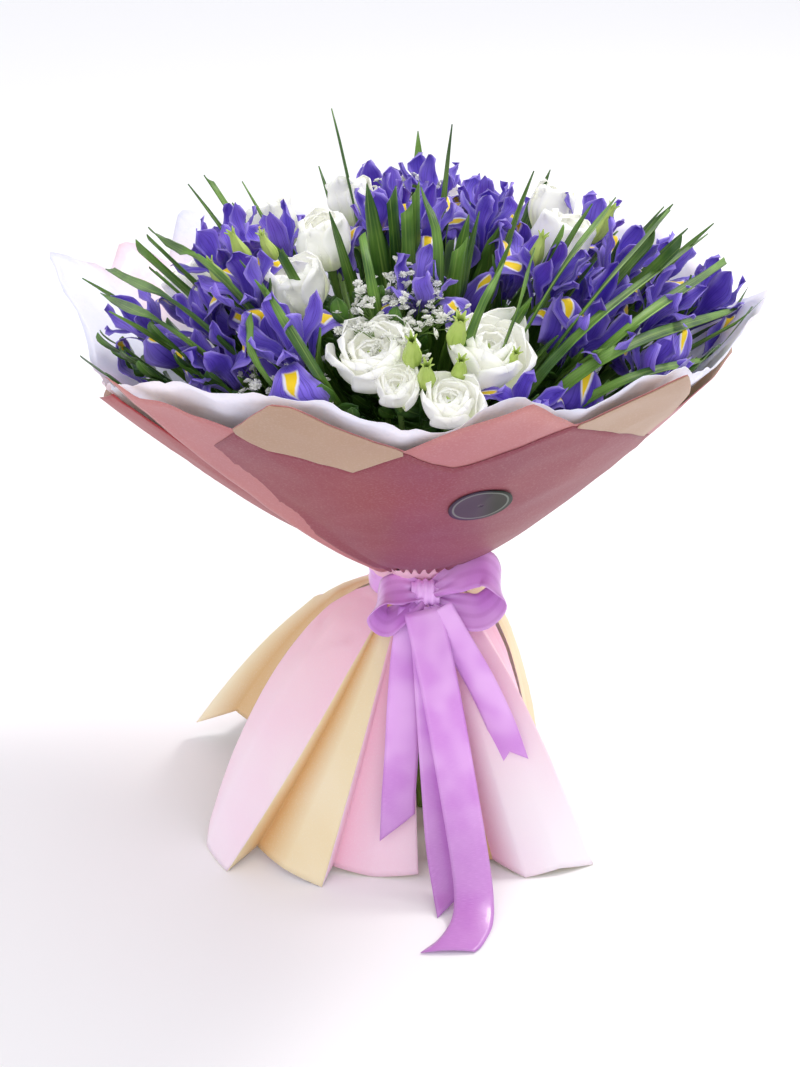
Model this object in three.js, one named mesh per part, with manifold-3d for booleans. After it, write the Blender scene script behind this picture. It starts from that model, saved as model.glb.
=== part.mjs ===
// A hand-tied bouquet of Dutch irises and lisianthus, wrapped in paper and tissue.
// It stands on the cut ends of its stems inside a flared paper skirt, tied with satin ribbon.
// Millimetres, +Z up. The origin is on the floor, in the middle of the tied stems.
import * as THREE from "three";
import Module from "manifold-3d";

const wasm = await Module();
wasm.setup();
const { Manifold } = wasm;

// Driving dimensions ------------------------------------------------------------------

const TIE_HEIGHT = 187; // middle of the binding above the cut ends
const NECK_TOP = 200; // where the wrapping opens out above the ribbon
const NECK_RADIUS = 31.2; // outside of the wrapping where it is tied
const BUNCH_RADIUS = 21; // stems gathered in the binding
const FOOT_SPREAD = 1.5; // the stems open out again below the tie
const FOOT_TWIST = 30; // degrees, from laying the stems in a spiral
const WIDEST_LEAN = 50; // degrees, the stems on the outside of the bunch
const IRIS_STEM = 3; // stem radii
const LISIANTHUS_STEM = 1.9;
const PAPER = 0.8; // thickness of every sheet
const GAP = 0.4; // air between two layers
const CLEAR = 0.35; // air round anything that grows past its neighbour
const PETAL = 1.6; // thickness of a petal along its middle
const LEAF = 1.8;
const RIBBON = 0.8;

// Irises: node, turn about the axis, lean from upright (degrees), distance of the bloom's
// middle from the tie, size, and the swing of its nearest fall from the front.
const IRISES = [
  ["iris_01", -121, 38, 262, 1.2, 4],
  ["iris_02", -138, 43, 254, 1.05, -35],
  ["iris_03", -156, 38, 250, 1, -50],
  ["iris_04", 178, 48, 258, 1, 20],
  ["iris_05", -172, 31, 260, 1, 30],
  ["iris_03", -141, 32, 268, 1, 10],
  ["iris_26", -166, 22, 256, 0.95, -40],
  ["iris_06", 166, 30, 260, 0.95, -20],
  ["iris_07", -140, 8, 254, 1, -60],
  ["iris_08", 112, 9, 250, 0.95, 10],
  ["iris_09", -84, 10, 258, 1, 0],
  ["iris_10", 82, 15, 258, 1, 25],
  ["iris_27", 56, 20, 250, 1, 50],
  ["iris_11", -30, 12, 258, 1, 20],
  ["iris_11", -42, 20, 246, 0.95, -50],
  ["iris_12", -47, 28, 266, 1, 15],
  ["iris_13", -89, 25, 256, 1, 60],
  ["iris_14", 22, 30, 262, 0.95, 40],
  ["iris_15", -3, 32, 260, 1, -10],
  ["iris_16", 12, 41, 268, 1, -35],
  ["iris_28", 5, 48, 274, 1.05, 40],
  ["iris_17", -30, 32, 250, 1, -20],
  ["iris_18", -48, 38, 258, 1.1, 5],
  ["iris_17", -20, 40, 266, 1, 30],
  ["iris_19", -37, 46, 254, 1.05, 0],
  ["iris_20", -70, 46, 252, 1, 5],
  ["iris_21", 104, 30, 262, 1, 180],
  ["iris_22", 135, 44, 258, 1, 200],
  ["iris_23", 72, 35, 262, 1, 170],
  ["iris_24", 95, 47, 256, 1, 190],
  ["iris_25", 45, 44, 260, 1, 160],
];

// Lisianthus: node, turn, lean, distance, size, and how far it has opened (0 to 1).
const LISIANTHUS = [
  ["lisianthus_01", -101, 36, 252, 1.15, 1],
  ["lisianthus_02", -95, 41, 252, 0.75, 0.5],
  ["lisianthus_03", -84, 44, 256, 0.85, 0.8],
  ["lisianthus_04", -73, 36, 254, 1.15, 1],
  ["lisianthus_05", -136, 26, 252, 1.05, 0.2],
  ["lisianthus_13", -147, 17, 258, 1, 0.1],
  ["lisianthus_06", 146, 29, 258, 1, 0.3],
  ["lisianthus_07", 33, 25, 264, 0.95, 0.1],
  ["lisianthus_08", 2, 23, 254, 1.05, 0.4],
  ["lisianthus_09", 164, 41, 252, 1, 0.7],
  ["lisianthus_10", 124, 20, 258, 0.9, 0.2],
  ["lisianthus_11", 82, 26, 256, 1, 0.6],
  ["lisianthus_12", 114, 40, 252, 1.05, 0.9],
];

// Strap leaves: turn, lean of the tip, distance of the tip from the tie, width at the
// middle, and how much nearer upright the leaf starts (0 to 1).
const LEAVES = [
  [128, 18, 318, 9, 0.88],
  [-14, 4, 312, 8, 0.91],
  [-95, 19, 296, 10, 0.92],
  [-112, 17, 306, 13, 0.92],
  [163, 33, 306, 8, 0.91],
  [-172, 39, 300, 13, 0.93],
  [174, 50, 306, 9, 0.93],
  [-158, 46, 300, 9, 0.94],
  [-128, 34, 296, 11, 0.94],
  [-74, 21, 298, 11, 0.93],
  [-36, 17, 306, 9, 0.92],
  [-32, 25, 304, 11, 0.93],
  [-16, 36, 300, 12, 0.94],
  [12, 36, 304, 10, 0.93],
  [4, 40, 312, 9, 0.94],
  [-9, 50, 302, 12, 0.94],
  [-26, 52, 272, 14, 0.95],
  [90, 22, 300, 11, 0.92],
  [82, 42, 296, 13, 0.94],
  [112, 50, 290, 12, 0.95],
];

// Short-leaved greenery tucked in low: turn, lean, distance of the tip, leaves.
const SPRIGS = [
  [-152, 49, 250, 7],
  [-168, 51, 256, 6],
  [-56, 48, 244, 7],
  [-14, 50, 244, 5],
  [78, 49, 240, 4],
  [112, 49, 240, 4],
];

// Gypsophila: node, turn, lean, distance of the middle of the spray, florets in it.
const SPRAYS = [
  ["gypsophila_front", -99, 30, 240, 9],
  ["gypsophila_left", -124, 44, 226, 5],
  ["gypsophila_back", 98, 23, 246, 5],
];

// Rims of the wrapping: turn in degrees and radius of each corner or fold.
const FRONT_RIM = [
  [-140, 252], [-136.5, 239], [-132, 237], [-121.5, 219], [-112, 238], [-109, 236],
  [-101, 216], [-93, 199], [-87, 208], [-80.5, 217], [-73.5, 226], [-69, 217],
  [-63, 205], [-54, 217], [-44, 226], [-35, 207], [-32, 182],
];
const BACK_RIM = [
  [-28, 194], [-16, 204], [-6, 214], [9, 219], [23, 224], [38, 230], [54, 228],
  [68, 236], [84, 247], [100, 244], [113, 252], [126, 254], [139, 240], [150, 232],
  [162, 226], [176, 218], [190, 218], [204, 228], [216, 238],
];
const TISSUE_RIM = [
  [-176, 220], [-165, 217], [-154, 224], [-144, 234], [-136, 240], [-129, 236], [-120, 227],
  [-112, 231], [-104, 227], [-93, 205], [-86, 200], [-74, 217], [-64, 203], [-52, 220],
  [-33, 208], [-24, 208], [-9, 230], [-2, 239], [10, 220], [33, 236],
  [50, 245], [66, 241], [82, 250], [98, 249], [113, 262], [124, 259], [132, 276],
  [139, 252], [146, 271], [153, 256], [162, 283], [170, 244],
];

// Skirt sheets, one list each: turn at the neck, turn at the foot, radius and height of
// the foot, and how evenly the paper opens (1 is a straight slope, less swells out high up). A sheet folds back on itself between its pink and its cream panels.
const SKIRT = {
  skirt_front_left: [
    [-178, -157, 166, 8, 0.6], [-160, -152, 174, 0, 0.65], [-130, -140, 178, 0, 0.9],
    [-128, -141, 149, 8, 0.9], [-120, -129, 152, 5, 0.9], [-113, -117, 150, 0, 0.9],
    [-110, -118, 130, 5, 0.82], [-101, -105, 125, 0, 0.82], [-93, -90, 122, 3, 0.82],
  ],
  skirt_front_right: [
    [-90, -85, 104, 6, 0.82], [-80, -74, 104, 2, 0.82], [-72, -63, 118, 4, 0.82],
    [-62, -58, 144, 0, 0.82], [-52, -49, 154, 4, 0.72], [-44, -40, 164, 0, 0.6],
    [-38, -38, 138, 8, 0.6], [-30, -30, 112, 12, 0.5], [-22, -20, 96, 6, 0.4],
  ],
  skirt_back_right: [
    [-18, -10, 92, 8, 0.36], [-6, 4, 92, 0, 0.36], [8, 18, 98, 6, 0.4],
    [20, 30, 110, 8, 0.5], [32, 40, 118, 0, 0.7], [44, 50, 126, 6, 0.8],
    [54, 58, 144, 6, 0.82], [64, 70, 152, 0, 0.82], [76, 84, 150, 6, 0.82],
  ],
  skirt_back_left: [
    [80, 89, 144, 6, 0.82], [92, 100, 150, 0, 0.82], [104, 110, 144, 8, 0.82],
    [112, 116, 168, 6, 0.82], [122, 127, 176, 10, 0.8], [132, 138, 164, 20, 0.7],
    [142, 146, 160, 26, 0.7], [154, 157, 190, 12, 0.65], [164, 160, 150, 36, 0.65],
    [174, 166, 126, 34, 0.65],
  ],
};

// The ribbon's tails: width, and the middle line as it hangs from the knot, with the
// direction that its width lies in.
const TAILS = {
  ribbon_tail_left: {
    width: 24,
    line: [[-2, -46, 176], [-7, -58, 150], [-10, -75, 118], [-12, -93, 84], [-14, -106, 58],
      [-15, -115, 38]],
    across: [1, 0.1, 0],
  },
  ribbon_tail_middle: {
    width: 26,
    line: [[6, -47, 178], [9, -66, 140], [12, -86, 100], [15, -108, 62], [18, -128, 30],
      [22, -146, 10], [24, -158, 4]],
    across: [1, 0.2, 0],
  },
  ribbon_tail_front: {
    width: 28,
    line: [[3, -53, 178], [13, -76, 140], [22, -100, 98], [30, -124, 58], [36, -144, 26],
      [38, -162, 10], [36, -182, 3.4], [25, -205, 1.4], [14, -222, 1.4]],
    across: [1, 0.35, 0],
  },
  ribbon_tail_right: {
    width: 22,
    line: [[14, -50, 178], [28, -60, 156], [44, -70, 130], [58, -80, 102], [68, -90, 76]],
    across: [0.8, -0.2, 0.35],
  },
};
const KNOT = { x: 5, y: -41.5, z: 186, wide: 20, deep: 14, high: 20 };
const LOOPS = [
  { side: -1, reach: 36, drop: -8, tall: 24, width: 26 },
  { side: 1, reach: 52, drop: 6, tall: 34, width: 28 },
];
const LABEL = { turn: -75, radius: 147, wide: 42, high: 42, thick: 0.8, off: 0.1 };

// Colours, roughness --------------------------------------------------------------------

const paint = (color, roughness, metalness = 0) =>
  new THREE.MeshStandardMaterial({ color, roughness, metalness });
const MATERIALS = {
  iris: paint(0x6e50d2, 0.55),
  lisianthus: paint(0xf4f6e2, 0.55),
  green: paint(0x3f5f1e, 0.5),
  foliage: paint(0x2d500f, 0.5),
  gypsophila: paint(0xf6f6f2, 0.7),
  mauve: paint(0xa5626c, 0.6),
  tissue: paint(0xf2eefc, 0.6),
  skirt: paint(0xfdd2e6, 0.6),
  ribbon: paint(0xcd82d7, 0.35),
  label: paint(0x18241c, 0.4),
  string: paint(0xcdb98e, 0.8),
};

// Geometry helpers ----------------------------------------------------------------------

const radians = (degrees) => (degrees * Math.PI) / 180;
const vector = (x, y, z) => new THREE.Vector3(x, y, z);
const polar = (radius, turn, z) =>
  vector(radius * Math.cos(radians(turn)), radius * Math.sin(radians(turn)), z);
const TIE = vector(0, 0, TIE_HEIGHT + 13);

function aim(turn, lean) {
  const out = Math.sin(radians(lean));
  return vector(out * Math.cos(radians(turn)), out * Math.sin(radians(turn)), Math.cos(radians(lean)));
}

// A closed mesh from its corners and faces, with its faces pointing out.
function solidFrom(points, faces) {
  let volume = 0;
  for (const [a, b, c] of faces) {
    volume += points[a].dot(points[b].clone().cross(points[c]));
  }
  const outward = volume > 0 ? faces : faces.map(([a, b, c]) => [a, c, b]);
  const mesh = new wasm.Mesh({
    numProp: 3,
    vertProperties: new Float32Array(points.flatMap((p) => [p.x, p.y, p.z])),
    triVerts: new Uint32Array(outward.flat()),
  });
  return new Manifold(mesh);
}

// The two triangles between points a, b of one ring and c, d of the next, split from a to d
// or else from b to c. Both faces of a thin blade are split alike, so that they can't cross.
const quad = (a, b, c, d, other) =>
  (other ? [[a, b, c], [b, d, c]] : [[a, b, d], [a, d, c]]);
const BLADE_SPLIT = [1, 3];
const AIR_SPLIT = [1, 4];
const STRIP_SPLIT = [2];

// Skins a row of rings, each with the same number of points. An end that is a single
// point closes to a tip. The seam edge of an end cap runs from its second point. The
// sides in others are split the other way.
function loft(rings, others = []) {
  const points = rings.flat();
  const starts = [];
  let count = 0;
  for (const ring of rings) {
    starts.push(count);
    count += ring.length;
  }
  const faces = [];
  for (let k = 0; k + 1 < rings.length; k += 1) {
    const [a, b] = [starts[k], starts[k + 1]];
    const [m, n] = [rings[k].length, rings[k + 1].length];
    for (let i = 0; i < Math.max(m, n); i += 1) {
      const j = (i + 1) % Math.max(m, n);
      if (m === 1) faces.push([a, b + j, b + i]);
      else if (n === 1) faces.push([a + i, a + j, b]);
      else faces.push(...quad(a + i, a + j, b + i, b + j, others.includes(i)));
    }
  }
  const cap = (start, size, flip) => {
    for (let i = 1; i + 1 < size; i += 1) {
      const face = [start + 1, start + ((1 + i) % size), start + ((2 + i) % size)];
      faces.push(flip ? face : face.reverse());
    }
  };
  if (rings[0].length > 1) cap(starts[0], rings[0].length, false);
  if (rings.at(-1).length > 1) cap(starts.at(-1), rings.at(-1).length, true);
  return solidFrom(points, faces);
}

// One section of a blade: pointed at both edges, thickest along the middle, its edges
// lifted by cup. With grow it becomes the blunt section of the air round the blade.
function bladeSection({ at, across, up, width, thick, cup }, grow) {
  const place = (sideways, lift) => at.clone().addScaledVector(across, sideways).addScaledVector(up, lift);
  const half = width / 2 + grow;
  if (!grow) {
    return [place(-half, cup), place(0, thick / 2), place(half, cup), place(0, -thick / 2)];
  }
  return [
    place(-half, cup + grow), place(0, thick / 2 + grow), place(half, cup + grow),
    place(half, cup - grow), place(0, -thick / 2 - grow), place(-half, cup - grow),
  ];
}

function blade(stations, start, tip, grow = 0) {
  const rings = stations.map((station) => bladeSection(station, grow));
  const stretch = (end, from) => end.clone().addScaledVector(end.clone().sub(from).normalize(), grow);
  if (start) rings.unshift([stretch(start, stations[0].at)]);
  if (tip) rings.push([stretch(tip, stations.at(-1).at)]);
  return loft(rings, grow ? AIR_SPLIT : BLADE_SPLIT);
}

// A round stem along a list of points, with a ring square to the line and a radius at each.
function rod(line, radii, sides, grow = 0) {
  const whole = line.at(-1).clone().sub(line[0]);
  const across = vector(-whole.y, whole.x, 0).normalize();
  const rings = line.map((point, k) => {
    const before = line[Math.max(k - 1, 0)];
    const after = line[Math.min(k + 1, line.length - 1)];
    const along = after.clone().sub(before).normalize();
    const up = along.clone().cross(across).normalize();
    return Array.from({ length: sides }, (_, i) => {
      const angle = (2 * Math.PI * (i + 0.5)) / sides;
      const size = (radii[k] ?? radii) + grow;
      return point.clone()
        .addScaledVector(across, size * Math.cos(angle))
        .addScaledVector(up, size * Math.sin(angle));
    });
  });
  return loft(rings);
}

// A curve from the tie to a point, leaving nearer upright and arriving along its end
// direction.
function risingLine(from, to, arriving, starting, steps) {
  const length = to.clone().sub(from).length();
  const curve = new THREE.CubicBezierCurve3(
    from,
    from.clone().addScaledVector(starting, length * 0.34),
    to.clone().addScaledVector(arriving, -length * 0.34),
    to,
  );
  return curve.getPoints(steps);
}

// Moves the first and last points of a line outward, so that the line reaches further.
const reachOut = (line, further) => line.map((point, k) => {
  const inner = line[k === 0 ? 1 : k - 1];
  const end = k === 0 || k === line.length - 1;
  return end ? point.clone().addScaledVector(point.clone().sub(inner).normalize(), further) : point;
});
const flip = (rows) => rows[0].map((_, c) => rows.map((row) => row[c]));

// A sheet of paper from rows of points. It lies depth below them on the side of inward.
function sheet(plain, inward, closed, depth, grow = 0) {
  const taller = flip(flip(plain).map((column) => reachOut(column, grow)));
  const rows = closed ? taller : taller.map((row) => reachOut(row, grow));
  const tall = rows.length;
  const wide = rows[0].length;
  const normalAt = (r, c) => {
    const left = closed ? (c + wide - 1) % wide : Math.max(c - 1, 0);
    const right = closed ? (c + 1) % wide : Math.min(c + 1, wide - 1);
    const along = rows[r][right].clone().sub(rows[r][left]);
    const rise = rows[Math.min(r + 1, tall - 1)][c].clone().sub(rows[Math.max(r - 1, 0)][c]);
    return along.cross(rise).normalize().multiplyScalar(inward);
  };
  const points = [];
  for (const level of [depth - grow, depth + PAPER + grow]) {
    for (let r = 0; r < tall; r += 1) {
      for (let c = 0; c < wide; c += 1) {
        points.push(rows[r][c].clone().addScaledVector(normalAt(r, c), level));
      }
    }
  }
  const back = tall * wide;
  const faces = [];
  const columns = closed ? wide : wide - 1;
  for (let r = 0; r + 1 < tall; r += 1) {
    for (let c = 0; c < columns; c += 1) {
      const d = (c + 1) % wide;
      const [p, q, s, t] = [r * wide + c, r * wide + d, (r + 1) * wide + d, (r + 1) * wide + c];
      faces.push([p, q, s], [p, s, t]);
      faces.push([back + p, back + s, back + q], [back + p, back + t, back + s]);
    }
  }
  for (let c = 0; c < columns; c += 1) {
    const d = (c + 1) % wide;
    const top = (tall - 1) * wide;
    faces.push([c, back + c, back + d], [c, back + d, d]);
    faces.push([top + c, top + d, back + top + d], [top + c, back + top + d, back + top + c]);
  }
  if (!closed) {
    const end = wide - 1;
    for (let r = 0; r + 1 < tall; r += 1) {
      const [p, q] = [r * wide, (r + 1) * wide];
      faces.push([p, q, back + q], [p, back + q, back + p]);
      faces.push([p + end, back + q + end, q + end], [p + end, back + p + end, back + q + end]);
    }
  }
  return solidFrom(points, faces);
}

const largest = (solid) =>
  solid.decompose().sort((a, b) => b.volume() - a.volume())[0];

// The object is put together in the order in which pieces give way: each later piece
// is cut clear of the air kept round every earlier one.
const pieces = [];

const near = (a, b) => {
  const [p, q] = [a.boundingBox(), b.boundingBox()];
  return [0, 1, 2].every((k) => p.min[k] <= q.max[k] && q.min[k] <= p.max[k]);
};

function add(name, parts, airs, material, cut = true) {
  let solid = Manifold.union(parts);
  if (cut) {
    const close = pieces.flatMap((piece) => piece.airs).filter((air) => near(air, solid));
    if (close.length) solid = solid.subtract(Manifold.union(close));
  }
  pieces.push({ name, solid: largest(solid), airs, material });
}

// Wrapping ------------------------------------------------------------------------------

// Outside of the wrapping in the neck, where it opens a little towards the top.
const NECK_LOW = NECK_TOP - 24;
const NECK_OPENS = 2;
const neckAt = (z) => NECK_RADIUS + (NECK_OPENS * Math.max(z - NECK_LOW, 0)) / (NECK_TOP - NECK_LOW);

// The bowl opens nearly flat from the neck and then steepens, most of all at the front.
const BOWL_RISE = 0.1775;
const BOWL_POWER = 1.28;
const RIGHT_STEEPER = 0.0225;
const FRONT_STEEPER = 0.0535;

function bowlHeight(radius, turn) {
  const [across, back] = [Math.cos(radians(turn)), Math.sin(radians(turn))];
  const rise = BOWL_RISE + RIGHT_STEEPER * across + FRONT_STEEPER * Math.max(0, -back);
  return NECK_TOP + rise * Math.max(radius - neckAt(NECK_TOP), 0) ** BOWL_POWER;
}

const rimAt = (rim, turn) => {
  for (let i = 0; i + 1 < rim.length; i += 1) {
    const [[a, p], [b, q]] = [rim[i], rim[i + 1]];
    if (turn >= a && turn <= b) return p + ((q - p) * (turn - a)) / (b - a);
  }
  return rim[0][1];
};

// Rows from the neck to the rim. A collar stands off its neighbour by a share of its radius,
// and wave is how far its folds stand in from there.
const BOWL_STEPS = [0, 0.4, 1];
function collarRows(rim, turnAt, standOff, wave, folds) {
  const columns = rim.map(([turn]) => turn);
  const rows = [];
  rows.push(columns.map((turn) => polar(NECK_RADIUS, turnAt(turn, 0), NECK_LOW)));
  for (const step of BOWL_STEPS) {
    rows.push(columns.map((turn) => {
      const edge = rimAt(rim, turn);
      const radius = neckAt(NECK_TOP) + (edge - neckAt(NECK_TOP)) * step;
      const where = turnAt(turn, step);
      const fold = wave * step ** 2 * (0.5 + 0.5 * Math.cos(radians(folds * turn)));
      const off = standOff * (radius - NECK_RADIUS);
      return polar(radius, where, bowlHeight(radius, where) + off + fold);
    }));
  }
  return rows;
}

const layer = (k) => k * (PAPER + GAP);
function addCollar(name, rows, closed, depth, material) {
  const nominal = sheet(rows, -1, closed, depth);
  const air = sheet(rows, -1, closed, depth, CLEAR);
  add(name, [nominal], [air], material, false);
}

const still = (turn) => turn;

// The front sheet narrows towards the neck, most on its left. The back sheet laps under it.
const FRONT_MIDDLE = -93;
const LEFT_NARROWS = 0.6;
const RIGHT_NARROWS = 0.84;
const BACK_LAPS = 24;
const TISSUE_GAP = 0.3;
function narrowing(turn, step) {
  const least = turn < FRONT_MIDDLE ? LEFT_NARROWS : RIGHT_NARROWS;
  return FRONT_MIDDLE + (turn - FRONT_MIDDLE) * (least + (1 - least) * step);
}
const lapping = (turn, step) => turn + BACK_LAPS * (1 - step) * Math.max(0, (turn - 150) / 66);
addCollar("tissue_collar", collarRows(TISSUE_RIM, still, 0.02, 8, 9), true, layer(2) + TISSUE_GAP,
  MATERIALS.tissue);
addCollar("wrap_back", collarRows(BACK_RIM, lapping, 0, 0, 1), false, layer(1), MATERIALS.mauve);
addCollar("wrap_front", collarRows(FRONT_RIM, narrowing, 0, 0, 1), false, layer(0), MATERIALS.mauve);

// Skirt ---------------------------------------------------------------------------------

const skirtNeck = (z) => neckAt(z) + GAP + PAPER;
const SKIRT_STEPS = [0.36, 1];
const SKIRT_TOP = NECK_TOP - 8;
const SKIRT_WAIST = NECK_TOP - 28;
const SKIRT_HEM = 0.5; // keeps the slanting edge of the paper just off the floor

for (const [name, columns] of Object.entries(SKIRT)) {
  const waist = skirtNeck(SKIRT_WAIST);
  const rows = [SKIRT_TOP, SKIRT_WAIST].map((z) =>
    columns.map(([neckTurn]) => polar(skirtNeck(z), neckTurn, z)));
  for (const step of SKIRT_STEPS) {
    rows.push(columns.map(([neckTurn, footTurn, foot, low, flare]) => {
      const radius = waist + (foot - waist) * step ** flare;
      const turn = neckTurn + (footTurn - neckTurn) * step;
      return polar(radius, turn, SKIRT_WAIST + (low + SKIRT_HEM - SKIRT_WAIST) * step);
    }));
  }
  const nominal = sheet(rows, 1, false, 0);
  const air = sheet(rows, 1, false, 0, CLEAR);
  add(name, [nominal], [air], MATERIALS.skirt, false);
}

// Ribbon --------------------------------------------------------------------------------

function ring(inner, outer, low, high, sides) {
  const profile = [[inner, low], [outer, low], [outer, high], [inner, high], [inner, low]];
  const lathe = new THREE.LatheGeometry(profile.map(([r, z]) => new THREE.Vector2(r, z)), sides);
  const points = [];
  const faces = [];
  const place = lathe.getAttribute("position");
  const size = profile.length - 1;
  for (let s = 0; s < sides; s += 1) {
    for (let k = 0; k < size; k += 1) {
      const i = s * profile.length + k;
      points.push(vector(place.getX(i), place.getZ(i), place.getY(i)));
      const next = ((s + 1) % sides) * size;
      const [a, b, c, d] = [s * size + k, s * size + ((k + 1) % size), next + ((k + 1) % size), next + k];
      faces.push([a, b, c], [a, c, d]);
    }
  }
  return solidFrom(points, faces);
}

const ROUND = 16;
const BAND_INNER = (skirtNeck(SKIRT_TOP) + GAP) / Math.cos(Math.PI / ROUND);
const BAND_LOW = NECK_TOP - 25;
const BAND_HIGH = NECK_TOP - 3;
const BAND_THICK = 1.2; // the ribbon goes round more than once
const band = (grow) =>
  ring(BAND_INNER - grow, BAND_INNER + BAND_THICK + grow, BAND_LOW - grow, BAND_HIGH + grow, ROUND);
add("ribbon_band", [band(0)], [band(CLEAR)], MATERIALS.ribbon, false);

// A strip of ribbon along a line, flat in section. A loop is gathered in at its ends.
const GATHERED = 0.35;
function strip(line, width, across, grow = 0, isLoop = false) {
  const rings = line.map((point, k) => {
    const before = line[Math.max(k - 1, 0)];
    const after = line[Math.min(k + 1, line.length - 1)];
    const along = after.clone().sub(before).normalize();
    const side = across.clone().addScaledVector(along, -across.dot(along)).normalize();
    const up = along.clone().cross(side);
    const bulge = Math.sin((Math.PI * k) / (line.length - 1));
    const share = isLoop ? Math.min(1, GATHERED + bulge) : 1;
    const half = (width * share) / 2 + grow;
    const thick = RIBBON / 2 + grow;
    return [[-half, -thick], [half, -thick], [half, thick], [-half, thick]].map(([s, t]) =>
      point.clone().addScaledVector(side, s).addScaledVector(up, t));
  });
  return loft(rings, STRIP_SPLIT);
}

const knotCentre = vector(KNOT.x, KNOT.y, KNOT.z);
function knot(grow) {
  const shape = new THREE.SphereGeometry(1, 6, 4);
  const place = shape.getAttribute("position");
  const rings = [];
  for (let r = 0; r <= 4; r += 1) {
    const around = Array.from({ length: r === 0 || r === 4 ? 1 : 6 }, (_, i) => {
      const at = r * 7 + i;
      return vector(
        KNOT.x + place.getX(at) * (KNOT.wide / 2 + grow),
        KNOT.y + place.getZ(at) * (KNOT.deep / 2 + grow),
        KNOT.z + place.getY(at) * (KNOT.high / 2 + grow),
      );
    });
    rings.push(around);
  }
  return loft(rings);
}

function loop({ side, reach, drop, tall, width }, grow) {
  const half = tall / 2;
  const outline = new THREE.CatmullRomCurve3([
    vector(0, 0, 0),
    vector(side * reach * 0.4, -6, drop * 0.4 + half * 0.8),
    vector(side * reach * 0.8, -9, drop * 0.9 + half),
    vector(side * reach, -9, drop),
    vector(side * reach * 0.75, -8, drop * 0.9 - half * 0.9),
    vector(side * reach * 0.35, -5, drop * 0.3 - half * 0.6),
    vector(0, 0, -2),
  ]);
  const line = outline.getPoints(7).map((point) => point.add(knotCentre));
  return strip(line, width, vector(0.25 * side, 1, 0.1), grow, true);
}

add("ribbon_bow", [knot(0), ...LOOPS.map((shape) => loop(shape, 0))],
  [knot(CLEAR), ...LOOPS.map((shape) => loop(shape, CLEAR))], MATERIALS.ribbon);

for (const [name, { width, line, across }] of Object.entries(TAILS)) {
  const points = new THREE.CatmullRomCurve3(line.map((p) => vector(...p))).getPoints(6);
  const side = vector(...across);
  add(name, [strip(points, width, side)], [strip(points, width, side, CLEAR)], MATERIALS.ribbon);
}

// A plain oval label that lies on the wrapping.
function label(grow) {
  const out = polar(1, LABEL.turn, 0);
  const along = vector(-out.y, out.x, 0);
  const low = bowlHeight(LABEL.radius - 8, LABEL.turn);
  const high = bowlHeight(LABEL.radius + 8, LABEL.turn);
  const slope = out.clone().multiplyScalar(16).add(vector(0, 0, high - low)).normalize();
  const face = along.clone().cross(slope).normalize();
  const centre = polar(LABEL.radius, LABEL.turn, bowlHeight(LABEL.radius, LABEL.turn));
  const edge = new THREE.EllipseCurve(0, 0, LABEL.wide / 2 + grow, LABEL.high / 2 + grow);
  const oval = edge.getPoints(ROUND).slice(0, ROUND);
  const rings = [LABEL.off - grow, LABEL.off + LABEL.thick + grow].map((depth) => oval.map(({ x, y }) =>
    centre.clone().addScaledVector(along, x).addScaledVector(slope, y).addScaledVector(face, depth)));
  return loft(rings);
}
add("label", [label(0)], [label(CLEAR)], MATERIALS.label);

// The turns of string that bind the stems, inside the paper.
const STRING = { inner: 25.4, outer: 27.2, low: TIE_HEIGHT - 4, high: TIE_HEIGHT + 4 };
const stringRing = (grow) =>
  ring(STRING.inner - grow, STRING.outer + grow, STRING.low - grow, STRING.high + grow, ROUND);
add("binding_string", [stringRing(0)], [stringRing(CLEAR)], MATERIALS.string, false);

// Stems and strap leaves ----------------------------------------------------------------

// Where a stem that leans this much stands in the packed bunch.
const STEM_START = TIE_HEIGHT + 20;
const tiePlace = (turn, lean) => polar((BUNCH_RADIUS * lean) / WIDEST_LEAN, turn, STEM_START);

// The line of a stem from the packed bunch to just below the bloom.
const STEM_STEPS = 1;
const stemLine = (turn, lean, top, arriving) =>
  risingLine(tiePlace(turn, lean), top, arriving, aim(turn, lean * 0.85), STEM_STEPS);

const BLOOM_LEAN = 0.88; // a bloom turns up a little from its stem
const IRIS_TALL = 44; // from the foot of the tube to the middle of the bloom
const LISIANTHUS_TALL = 26;

function seat([, turn, lean, reach, size], tall) {
  const axis = aim(turn, lean * BLOOM_LEAN);
  const middle = TIE.clone().addScaledVector(aim(turn, lean), reach);
  return { axis, base: middle.addScaledVector(axis, -tall * size) };
}

const LEAF_ROOT = 34; // distance from the tie at which the leaves leave the packed stems
function strapLeaf([turn, lean, reach, width, start], grow) {
  const from = TIE.clone().addScaledVector(aim(turn, lean * 0.8), LEAF_ROOT);
  const to = TIE.clone().addScaledVector(aim(turn, lean), reach);
  const line = risingLine(from, to, aim(turn, lean * 1.15), aim(turn, lean * start), 4);
  const shares = [0.5, 0.85, 1, 0.9];
  const stations = shares.map((share, k) => {
    const along = line[k + 1].clone().sub(line[k]).normalize();
    const across = vector(-Math.sin(radians(turn + 25)), Math.cos(radians(turn + 25)), 0);
    across.addScaledVector(along, -across.dot(along)).normalize();
    const up = along.clone().cross(across).multiplyScalar(-1);
    return { at: line[k], across, up, width: width * share, thick: LEAF, cup: width * share * 0.16 };
  });
  return blade(stations, null, to, grow);
}

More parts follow.
